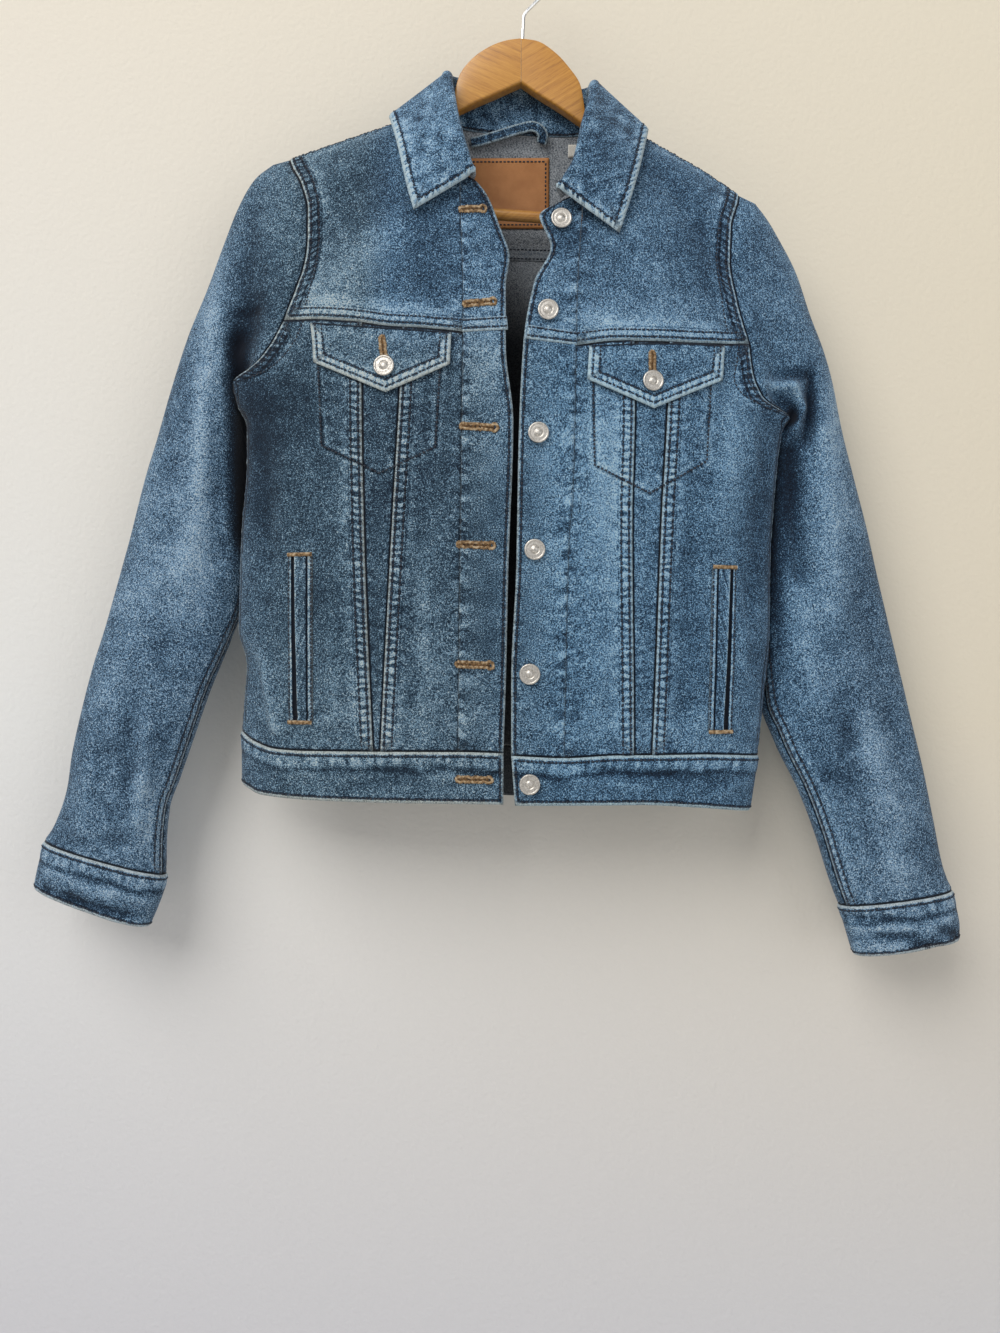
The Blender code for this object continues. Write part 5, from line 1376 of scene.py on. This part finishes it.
stretches = [
    [grid[:, ::-1] for grid in band_part("left", "front")],
    [grid[:, 1:-1] for grid in band_part("back", "back")],
    band_part("right", "front"),
]
band, normals = (np.concatenate(parts, axis=1) for parts in zip(*stretches))
BAND_CREASES = table(
    "x0 z0 x1 z1 width height",
    (-226, -690, -176, -700, 5, 0.8), (-150, -712, -96, -700, 5, -0.7), (-80, -698, -44, -708, 5, 0.6),
    (40, -704, 96, -712, 5, 0.8), (110, -700, 160, -708, 5, -0.8), (160, -716, 186, -708, 4, 0.7),
    (-120, -696, -70, -693, 3, -1.4), (-60, -708, -24, -700, 3, -1.2), (60, -697, 120, -700, 3, -1.3),
)
creased = folds(BAND_CREASES, band[..., 0], band[..., 2]) * (band[..., 1] < 0)
step, tints = turned_in(*border_reaches(band)["top"], 64)
# The creases' crests are painted paler and their hollows darker, as painted light and shade on the folds.
hung_cloth(
    "waistband", band + BAND_RAISE * normals, normals,
    {"top": edge(0, (3.9,), 0.3, 10, free=True, rim=1.6), "bottom": edge(0, (3.6,), 0.4, 12, free=True, rim=2.2),
     "outer": edge(0, (3.0,), 0.2, free=True), "inner": edge(0, (3.0,), 0.2, free=True)},
    TRIM_DENIM, DOUBLE_CLOTH,
    seed=60, quilt=creased + step, tints=tints - 0.04 + 0.14 * creased,
)

# ---- Collar -------------------------------------------------------------------------------------
# A pointed collar on a low stand. It is sewn to the neck, rolls over and falls to a stitched, rubbed
# edge. Its section is the stand, a half circle for the roll, and the straight fall.

COLLAR_CLOTH = 1.8
COLLAR_ROLL = 4.4
COLLAR = table(
    "seam_x seam_y seam_z roll_x roll_y roll_z edge_x edge_y edge_z",
    (-41, -37.0, -214, -39, -46.5, -212, -91, -45.5, -243),
    (-54, -37.0, -203, -44, -46.5, -197, -97, -44.5, -222),
    (-63, -30.5, -180, -52, -40.0, -166, -104, -38.5, -191),
    (-65.5, -18.5, -156, -57.5, -25.0, -132, -110, -25.0, -167),
    (-65.2, -6.0, -141.0, -60.5, -9.0, -111, -115, -10.0, -149.5),
    (-64.6, 6.5, -140.5, -60.0, 6.5, -105, -111, 9.0, -149.5),
    (-56, 12.6, -147.5, -51, 14.0, -103, -88, 25.0, -161),
    (-28, 12.6, -152.2, -27, 16.0, -102, -47, 28.0, -168), (0, 12.6, -153.6, 0, 16.5, -104, 0, 29.5, -171),
    (30, 12.6, -155.3, 24, 16.0, -109, 47, 28.0, -175), (55, 12.6, -153.0, 43, 14.0, -113, 82, 25.0, -172),
    (63, 6.5, -147.2, 52, 6.5, -116, 101, 9.0, -160.5),
    (63.2, -6.0, -148.0, 53, -9.0, -120, 104.5, -10.0, -160.5),
    (63.6, -18.5, -164, 50, -25.0, -142, 100, -25.0, -180), (60, -31.0, -194, 43, -40.5, -172, 93, -39.0, -208),
    (48, -37.5, -218, 36, -47.0, -203, 84, -45.5, -238), (28, -39.5, -231, 22, -47.5, -226, 76, -46.0, -262),
)
COLLAR_STATIONS, STAND_ROWS, ROLL_ROWS, FALL_ROWS = 176, 9, 11, 20
stations = path(np.stack(list(COLLAR.values()), -1), even(COLLAR_STATIONS))
seam_row, roll_row, edge_row = (stations[:, k : k + 3] for k in (0, 3, 6))
rise = unit(roll_row - seam_row)
fall_way = edge_row - seam_row
out = unit(fall_way - rise * (fall_way * rise).sum(-1, keepdims=True))
before = roll_row - COLLAR_ROLL * rise
middle = before + COLLAR_ROLL * out
stand = [seam_row + share * (before - seam_row) for share in even(STAND_ROWS)[:-1]]
turn = [middle + COLLAR_ROLL * (math.sin(angle) * rise - math.cos(angle) * out)
        for angle in np.linspace(0, math.pi, ROLL_ROWS)]
fall = [turn[-1] + share * (edge_row - turn[-1]) for share in even(FALL_ROWS)[1:]]
collar = np.stack([*stand, *turn, *fall], 1)
normals = grid_normals(collar)
neck_middle = np.array((-2.0, -8.0, -160.0))
if ((neck_middle - collar[:, 1]) * normals[:, 1]).sum(-1).mean() < 0:
    normals = -normals
collar_x, collar_z = collar[..., 0].T, collar[..., 2].T
hung_cloth(
    "collar", np.swapaxes(collar, 0, 1), np.swapaxes(normals, 0, 1),
    {"bottom": edge(6.5, (6.0,), 0.6, 8, 0.2, free=True, rim=2.2, gain=0.9),
     "outer": edge(5.5, (5.0,), 0.5, 8, 0.2, free=True, rim=2.2, gain=0.9),
     "inner": edge(5.5, (5.0,), 0.7, 7, 0.2, free=True, rim=2.0, gain=1.5), "top": edge(0, (2.0,), 0.2, rim=0.6)},
    TRIM_DENIM, COLLAR_CLOTH, seed=70,
    tints=0.20 * ripples(collar_x + 0.4 * collar_z, 71, 26) * ripples(collar_z - 0.5 * collar_x, 72, 34)
    + 0.09 * ripples(0.4 * collar_x - collar_z, 73, 9) - 0.04 * np.sign(collar_x),
)

# ---- Chest pockets ------------------------------------------------------------------------------
# A pointed flap over a bag that shows only as its sewn outline. Each flap has two stitch rows inside
# its rubbed edge, and lies on the panels just under the yoke seam.

LAID_GAP = 0.8
FLAP = {
    "left": {"top": ((-175, -332.5), (-109, -339), (-60, -343)),
             "bottom": ((-172, -366), (-113, -392), (-61, -370))},
    "right": {"top": ((163, -350), (105, -351), (51, -354)),
              "bottom": ((160, -380), (103, -405), (49, -382))},
}
FLAP_COLUMNS, FLAP_ROWS, BAG_POINTS = 49, 26, 160
FLAP_EDGE = edge(9.6, (4.0, 9.2), 0.35, 9, 0.2, free=True, rim=2.1, gain=0.6)
flap_tops = {}
for number, side in enumerate(SIDES):
    point = fractions(np.array(FLAP[side]["bottom"], float))[1]
    levels = np.interp(even(FLAP_COLUMNS), (0, 0.5, 1), (0, point, 1))
    top = path(FLAP[side]["top"], levels)
    bottom = straight(FLAP[side]["bottom"], levels)
    ends = [straight((top[i], bottom[i]), even(FLAP_ROWS)) for i in (0, -1)]
    grid, normals = body(net(top, bottom, *ends), "front")
    rise = LAID_GAP + CLOTH + 0.5 + 1.3 * even(FLAP_ROWS)[:, None, None] ** 1.5
    _, flap_tops[side] = hung_cloth(
        f"flap_{side}", grid + normals * rise, normals,
        {"outer": FLAP_EDGE, "inner": FLAP_EDGE, "bottom": FLAP_EDGE, "top": PLAIN},
        TRIM_DENIM, seed=80 + number,
        tints=0.12 * np.exp(-(((grid[..., 2] - grid[:1, :, 2] + 9) / 5) ** 2)) - 0.02,
    )
    points, normals = body(straight(BAG_OUTLINE[side], even(BAG_POINTS)), "front")
    sew(f"pocket_bag_{side}_stitches", [(points + 1.5 * normals, normals)], width=1.6, height=1.2)

# ---- Welt pockets -------------------------------------------------------------------------------
# A narrow folded strip beside a slit, stitched all round, with a tan bar tack over each end. The
# slit is painted as a dark lip along the strip's outer side: painted shade in the opening.

WELT_ROWS = 90
TACK_HALF, TACK_RISE = 10.5, 2.3
WELT = table("top bottom x_top x_bottom", (-522, -658, -184, -184), (-532, -666, 163, 160))
# The darkest rows of this table are painted shade: in the slit and in the grooves along the strip's sunk edges.
WELT_SECTION = table(  # across it from its outer side: place, height and how pale
    "at rise tint",
    (-10.8, 0.1, -0.9), (-10.2, 0.9, 0.40), (-8.6, 1.1, 0.60), (-7.9, 0.9, 0.3), (-7.5, 0.1, -1.6), (-5.1, 0.0, -1.8),
    (-4.7, 1.6, -0.2), (-4.2, 2.0, 0.50), (-3.2, 2.1, 0.14), (0.0, 1.9, -0.06), (4.0, 1.9, -0.02), (5.0, 1.7, -0.2),
    (5.6, 0.8, -1.4), (6.3, 0.9, -0.9), (6.9, 1.4, 0.32), (8.6, 1.5, 0.60), (9.8, 1.2, 0.5), (10.6, 0.1, -0.9),
)
for number, (side, row) in enumerate(zip(SIDES, zip(*WELT.values()))):
    top_z, bottom_z, x_top, x_bottom = row
    out = -1 if side == "left" else 1
    steps = np.sort(np.concatenate([WELT_SECTION["at"], np.linspace(-3, 4, 8)]))
    rise, tints = (np.interp(steps, WELT_SECTION["at"], WELT_SECTION[name]) for name in ("rise", "tint"))
    down = even(WELT_ROWS)[:, None]
    places = steps + 2.6 * down**1.4 * np.clip(1 - np.abs(steps + 4.7) / 4.7, 0, 1)
    grid, normals = body(np.stack([
        x_top + (x_bottom - x_top) * down - out * places, top_z + (bottom_z - top_z) * down + 0 * steps], -1), "front")
    worn = 0.18 * ripples(down * (top_z - bottom_z) + 3 * steps, 86 + number, 11) * (np.abs(steps) < 5)
    hung_cloth(
        f"welt_{side}", grid + normals * (rise[None, :, None] + 0.25), normals,
        {"outer": edge(0, (1.9,), 0, free=True, rim=0.5), "inner": edge(0, (1.9,), 0, free=True, rim=0.5),
         "top": edge(0, (), 0, free=True, rim=0.3), "bottom": edge(0, (), 0, free=True, rim=0.3)},
        PANEL_DENIM, 0.5, tints=tints[None] + worn,
        seed=84 + number,
    )
    tacks = []
    for z, middle in ((top_z + 0.5, x_top), (bottom_z - 0.5, x_bottom)):
        x = middle + np.linspace(-TACK_HALF, TACK_HALF, 9)
        points, normals = body(np.stack([x, np.full(len(x), z)], -1), "front")
        tacks.append((points + normals * TACK_RISE, normals))
    sew(f"welt_{side}_tacks", tacks, TAN_THREAD, pitch=0.75, length=3.8, width=0.95, height=0.9, across=True)

# ---- Buttons and buttonholes --------------------------------------------------------------------
# Turned metal buttons, nickel plated: a domed middle in a sunken ring, a plain band and a raised
# rim. Six close the front and one each flap. The buttonholes are worked in tan thread round a slit.

BUTTONS = table("x z", (29, -249), (18, -325), (10, -425), (7, -519), (3, -619), (3, -708))
FLAP_BUTTONS = {"left": (-114, -371), "right": (102, -383)}
BUTTON_PROFILE = (
    (0, 3.25), (1.0, 3.2), (1.9, 3.0), (2.6, 2.6), (3.0, 2.2), (3.3, 2.1), (3.6, 2.3), (3.9, 2.55), (4.3, 2.6),
    (5.4, 2.5), (6.3, 2.42), (6.6, 2.45), (6.9, 2.8), (7.4, 3.0), (7.9, 2.95), (8.3, 2.65), (8.5, 2.2),
    (8.4, 1.7), (8.0, 1.45), (6.0, 1.25), (4.4, 1.2), (4.4, 0.0), (0, 0.0))
NICKEL = grained(
    "button_nickel_satin", (0.5, 0.5, 0.85), (900, 3, 0.6), [(0.3, (0.32, 0.30, 0.27)), (0.65, (0.66, 0.625, 0.57))],
    [(0.3, 0.52), (0.7, 0.34)], (0.3, 0.0004))
BUTTON_STEPS = 40


def button(node, point, normal):
    """A turned button: the profile swept round the axis `normal` that stands on `point`."""
    radius, rise = np.array(BUTTON_PROFILE).T
    angle = 2 * np.pi * np.arange(BUTTON_STEPS) / BUTTON_STEPS
    beside = unit(np.cross(normal, (0.0, 0.0, 1.0)))
    upward = np.cross(beside, normal)
    ring = np.cos(angle)[:, None] * beside + np.sin(angle)[:, None] * upward
    rows = point + radius[1:-1, None, None] * ring + rise[1:-1, None, None] * normal
    made = put_mesh(f"{node}_metal", *capped(rows, [point + rise[0] * normal, point]), NICKEL)
    made.data.set_sharp_from_angle(angle=math.radians(38))
    place_piece(made, node)


for number, (x, z) in enumerate(zip(BUTTONS["x"], BUTTONS["z"]), 1):
    point, normal = body(np.array((x, z)), "front")
    button(f"button_{number}", point + normal * (0.9 + (BAND_RAISE if z < -690 else 0)), normal)
for side, (x, z) in FLAP_BUTTONS.items():
    point, normal = body(np.array((x, z)), "front")
    button(f"flap_button_{side}", point + normal * (LAID_GAP + CLOTH + 1.4), normal)

HOLE_HALF = 1.9  # from the slit's middle to the middle of its stitches
EYE_RADIUS = 2.8
EYE_BACK = 4.2  # from the eye's middle back to where the straight sides begin
SLIT_HALF, SLIT_THICKNESS = 1.2, 0.0003
BUTTONHOLES = table(  # the closed end and the eye of each, and how far it stands off the body's form
    "x0 z0 x1 z1 rise",
    (-53, -240, -35, -240, 0.2), (-49.5, -319.5, -27, -317.5, 0.2), (-52, -419, -25.5, -420.5, 0.2),
    (-54.5, -514.5, -28, -515.5, 0.2), (-55.5, -611, -29, -612, 0.2), (-55.5, -704, -30, -704.5, 1.4),
    (-116, -347, -114.3, -364, 3.6), (101.5, -359, 102, -376, 3.6),
)
# A thin dark sheet in each buttonhole's cut: painted shade in the opening.
SLIT_SHADE = grained(
    "slit_painted_shade", (0.95, 0.1), (500, 2), [(0.35, (0.03, 0.02, 0.015)), (0.65, (0.16, 0.09, 0.04))])
loops, slits = [], []
for x0, z0, x1, z1, rise in zip(*BUTTONHOLES.values()):
    run = unit(np.array((x1 - x0, z1 - z0)))
    side_step = np.array((-run[1], run[0]))
    start, end = np.array((x0, z0)), np.array((x1, z1))
    turn = np.radians(np.linspace(150, -150, 15))
    eye = end + EYE_RADIUS * (np.cos(turn)[:, None] * run + np.sin(turn)[:, None] * side_step)
    outline = np.vstack([start + HOLE_HALF * side_step, end - EYE_BACK * run + HOLE_HALF * side_step, eye,
                         end - EYE_BACK * run - HOLE_HALF * side_step, start - HOLE_HALF * side_step,
                         start - 0.9 * run, start + HOLE_HALF * side_step])
    wobble = np.random.default_rng(int(-z0)).normal(0, 0.30, (120, 2))
    points, normals = body(straight(outline, even(120)) + wobble, "front")
    loops.append((points + normals * (rise + 0.2), normals))
    strip = straight((start, end), even(12))[:, None] + np.array((-SLIT_HALF, SLIT_HALF))[None, :, None] * side_step
    points, normals = body(strip, "front")
    slits.append(points + normals * (rise + 0.15))
sew("buttonhole_threads", loops, TAN_THREAD, pitch=0.62, length=3.0, width=0.72, across=True)
count = slits[0].shape[0] * 2
corner = np.arange(0, count - 2, 2)
ribbon = np.stack([corner, corner + 1, corner + 3, corner + 2], 1)
slit = put_mesh("buttonhole_slits", np.vstack([grid.reshape(-1, 3) for grid in slits]),
                np.vstack([ribbon + count * k for k in range(len(slits))]), SLIT_SHADE)
slit.modifiers.new("thickness", "SOLIDIFY").thickness = SLIT_THICKNESS
place_piece(slit)

# ---- Inside the neck ----------------------------------------------------------------------------
# A bare leather patch with plain stitching on the inside of the back yoke, a loop of denim strip to
# hang the jacket by, and a small folded label of plain tape.

PATCH_CLOTH = 1.3
NECK_PATCH = ((-49, -171), (22, -231))
LOOP_PATH = (
    (-46, 11.5, -160.5), (-40, 10, -160), (-24, 7.5, -156.5), (-4, 5.5, -151.5), (6, 5.0, -149.5), (13, 5.5, -152),
    (16, 7.0, -157.5), (14.5, 9.5, -162.5))
LOOP_WIDTH, LOOP_POINTS = 9.4, 70
LABEL = ((38, -161), (47, -171))
LEATHER, tree, shader = new_material("bare_leather", 0.6, 0.35)
place = own_place(tree)
pores = noise(tree, place, 1400, 2, 0.6)
tone = ramp(tree, noise(tree, place, 60, 4, 0.6), [(0.3, (0.30, 0.115, 0.035)), (0.7, (0.50, 0.225, 0.080))])
tree.links.new(mix(tree, pores, tone, (0.38, 0.16, 0.05, 1)), shader.inputs["Base Color"])
add_bump(tree, shader, pores, 0.5, 0.0006)
TAPE = grained(
    "woven_tape", (0.85, 0.2), (1, 2, 0.6, (2400, 2400, 700)),
    [(0.3, (0.50, 0.48, 0.43)), (0.7, (0.74, 0.72, 0.66))])


def inside_back(corners, columns, rows, gap, thickness):
    """(points, normals) of a flat piece that lies against the inside of the back."""
    (x0, z0), (x1, z1) = corners
    x, z = np.meshgrid(np.linspace(x0, x1, columns), np.linspace(z0, z1, rows))
    surface, normals = body(np.stack([x, z], -1), "back")
    return surface - normals * (CLOTH + gap + thickness), -normals


PATCH_EDGE = edge(0, (3.2,), 0.15, 14, free=True, rim=0.0)
grid, normals = inside_back(NECK_PATCH, 40, 34, 0.5, PATCH_CLOTH)
hung_cloth("neck_patch", grid, normals, dict.fromkeys(ENDS_OF, PATCH_EDGE), LEATHER, PATCH_CLOTH,
           seed=90)
grid, normals = inside_back(LABEL, 8, 8, 0.5, 0.8)
hung_cloth("label", grid, normals, {"bottom": edge(0, (), 0.1, free=True, rim=0.0)}, TAPE, 0.8,
           seed=91)
strip = path(LOOP_PATH, even(LOOP_POINTS))
run = unit(np.gradient(strip, axis=0) * (1, 0, 1))
upward = np.stack([-run[:, 2], 0 * run[:, 0], run[:, 0]], -1)
ribbon = strip[None] + (0.5 - even(9))[:, None, None] * LOOP_WIDTH * upward[None]
normals = grid_normals(ribbon)
if normals[0, 0, 1] > 0:
    normals = -normals
LOOP_EDGE = edge(0, (), 0.1, 12, free=True, rim=1.2)
hung_cloth("hanger_loop", ribbon, normals, {"top": LOOP_EDGE, "bottom": LOOP_EDGE}, TRIM_DENIM, 1.2,
           tints=-0.25, seed=92)

# The turnings of the back yoke's seam show inside as a band with two stitch rows.
seam_line = path(BACK_YOKE_SEAM, 0.04 + 0.92 * even(90))
grid, normals = body(seam_line[None] + (5.5 - 11.5 * even(10))[:, None, None] * (0.0, 1.0), "back")
hung_cloth(
    "back_seam_inside", grid - (CLOTH + 1.1) * normals, -normals,
    {"top": edge(0, (1.8,), 0.2, free=True, rim=0.5), "bottom": edge(0, (1.8,), 0.2, free=True, rim=0.5),
     "outer": edge(0, (), 0.1, free=True), "inner": edge(0, (), 0.1, free=True)},
    thickness=0.9, seed=93, added=True, turned=0.85,
)

# ---- Hanger -------------------------------------------------------------------------------------
# Two arms of varnished beech, mitred at the middle, with a round bar between them and a polished
# steel wire hook. Each arm is a rounded section carried along X.

HANGER_HALF = 6.0
HANGER = {
    "left": table(
        "x top bottom corner",
        (-3, -80, -118, 2.5), (-12, -81, -122, 2.5), (-23, -84, -127, 2.5), (-38, -92, -133.5, 2.5),
        (-49, -102, -138.5, 2.5), (-55, -110.5, -141.5, 3), (-58.5, -122, -143.5, 3),
        (-60.5, -138, -147.5, 3.5), (-64, -147.5, -157, 4), (-72, -150, -161, 5), (-90, -151.5, -166, 5.5),
        (-115, -157.2, -174.5, 6), (-160, -172.4, -194, 6), (-190, -187, -210, 6), (-206, -196, -221, 6),
        (-216, -203, -220, 6),
    ),
    "right": table(
        "x top bottom corner",
        (-3, -80, -118, 2.5), (10, -82, -127, 2.5), (26, -92, -137, 2.5), (38, -105, -145, 2.5),
        (47, -118.5, -151.5, 3), (49.5, -130, -153, 3), (52, -146, -156, 3.5), (56, -155, -165, 4),
        (66, -157, -170, 5), (84, -162, -177, 5.5), (106, -170.6, -190, 6), (149, -194.8, -216, 6),
        (178, -218, -238, 6), (191, -230, -251, 6), (202, -239, -251, 6),
    ),
}


def beech(name, lean):
    """Varnished beech whose grain leans to the arm's own run."""
    made, tree, shader = new_material(name, 0.38, 0.45)
    turned = add_node(tree, "ShaderNodeMapping", None, Vector=own_place(tree), Rotation=(0, lean, 0)).outputs[0]
    grain = noise(tree, turned, 1, 4, 0.6, (22, 260, 420))
    flecks = noise(tree, turned, 1, 2, 0.7, (140, 900, 1500))
    share = sums(tree, "MULTIPLY_ADD", flecks, 0.35, sums(tree, "MULTIPLY", grain, 0.75))
    tree.links.new(
        ramp(tree, share, [(0.30, (0.26, 0.105, 0.020)), (0.50, (0.43, 0.19, 0.030)), (0.72, (0.54, 0.265, 0.048))]),
        shader.inputs["Base Color"])
    shader.inputs["Coat Weight"].default_value = 0.35
    shader.inputs["Coat Roughness"].default_value = 0.25
    add_bump(tree, shader, share, 0.25, 0.0004)
    return made


WOOD = {"left": beech("beech_left", -0.42), "right": beech("beech_right", 0.55)}
ARM_SLICES = 130
for side, slices in HANGER.items():
    reach = fractions(np.stack([slices["x"], slices["top"]], -1))
    x, top, bottom, corner = (smooth(reach, column, even(ARM_SLICES))[:, None, None] for column in slices.values())
    x[0] += (-1 if side == "left" else 1) * SEAM_GAP / 2
    corner = np.minimum(corner, np.minimum((top - bottom) / 2 - 0.2, HANGER_HALF - 0.2))
    start = np.radians((0, 90, 180, 270))[None, :, None]
    angle = start + np.linspace(0, math.pi / 2, 7)[None, None, :]
    far = np.array((1, -1, -1, 1))[None, :, None] * (HANGER_HALF - corner)
    high = np.concatenate([(top - corner)] * 2 + [(bottom + corner)] * 2, axis=1)
    y, z = far + corner * np.cos(angle), high + corner * np.sin(angle)
    rings = np.stack([x + 0 * y, y, z], -1).reshape(ARM_SLICES, -1, 3)
    arm = put_mesh(f"hanger_arm_{side}_beech", *capped(rings, rings[[0, -1]].mean(axis=1)), WOOD[side])
    arm.data.set_sharp_from_angle(angle=math.radians(50))
    place_piece(arm, f"hanger_arm_{side}")

STEEL = grained(
    "polished_steel", (0.22, 0.5, 1.0), (1, 2, 0.6, (900, 900, 90)),
    [(0.3, (0.50, 0.50, 0.49)), (0.7, (0.74, 0.73, 0.71))], [(0.3, 0.18), (0.7, 0.30)])
for node, finish in (("hanger_bar", WOOD["right"]), ("hanger_hook", STEEL)):
    for holder in bpy.data.objects[node].material_slots:
        holder.material = finish
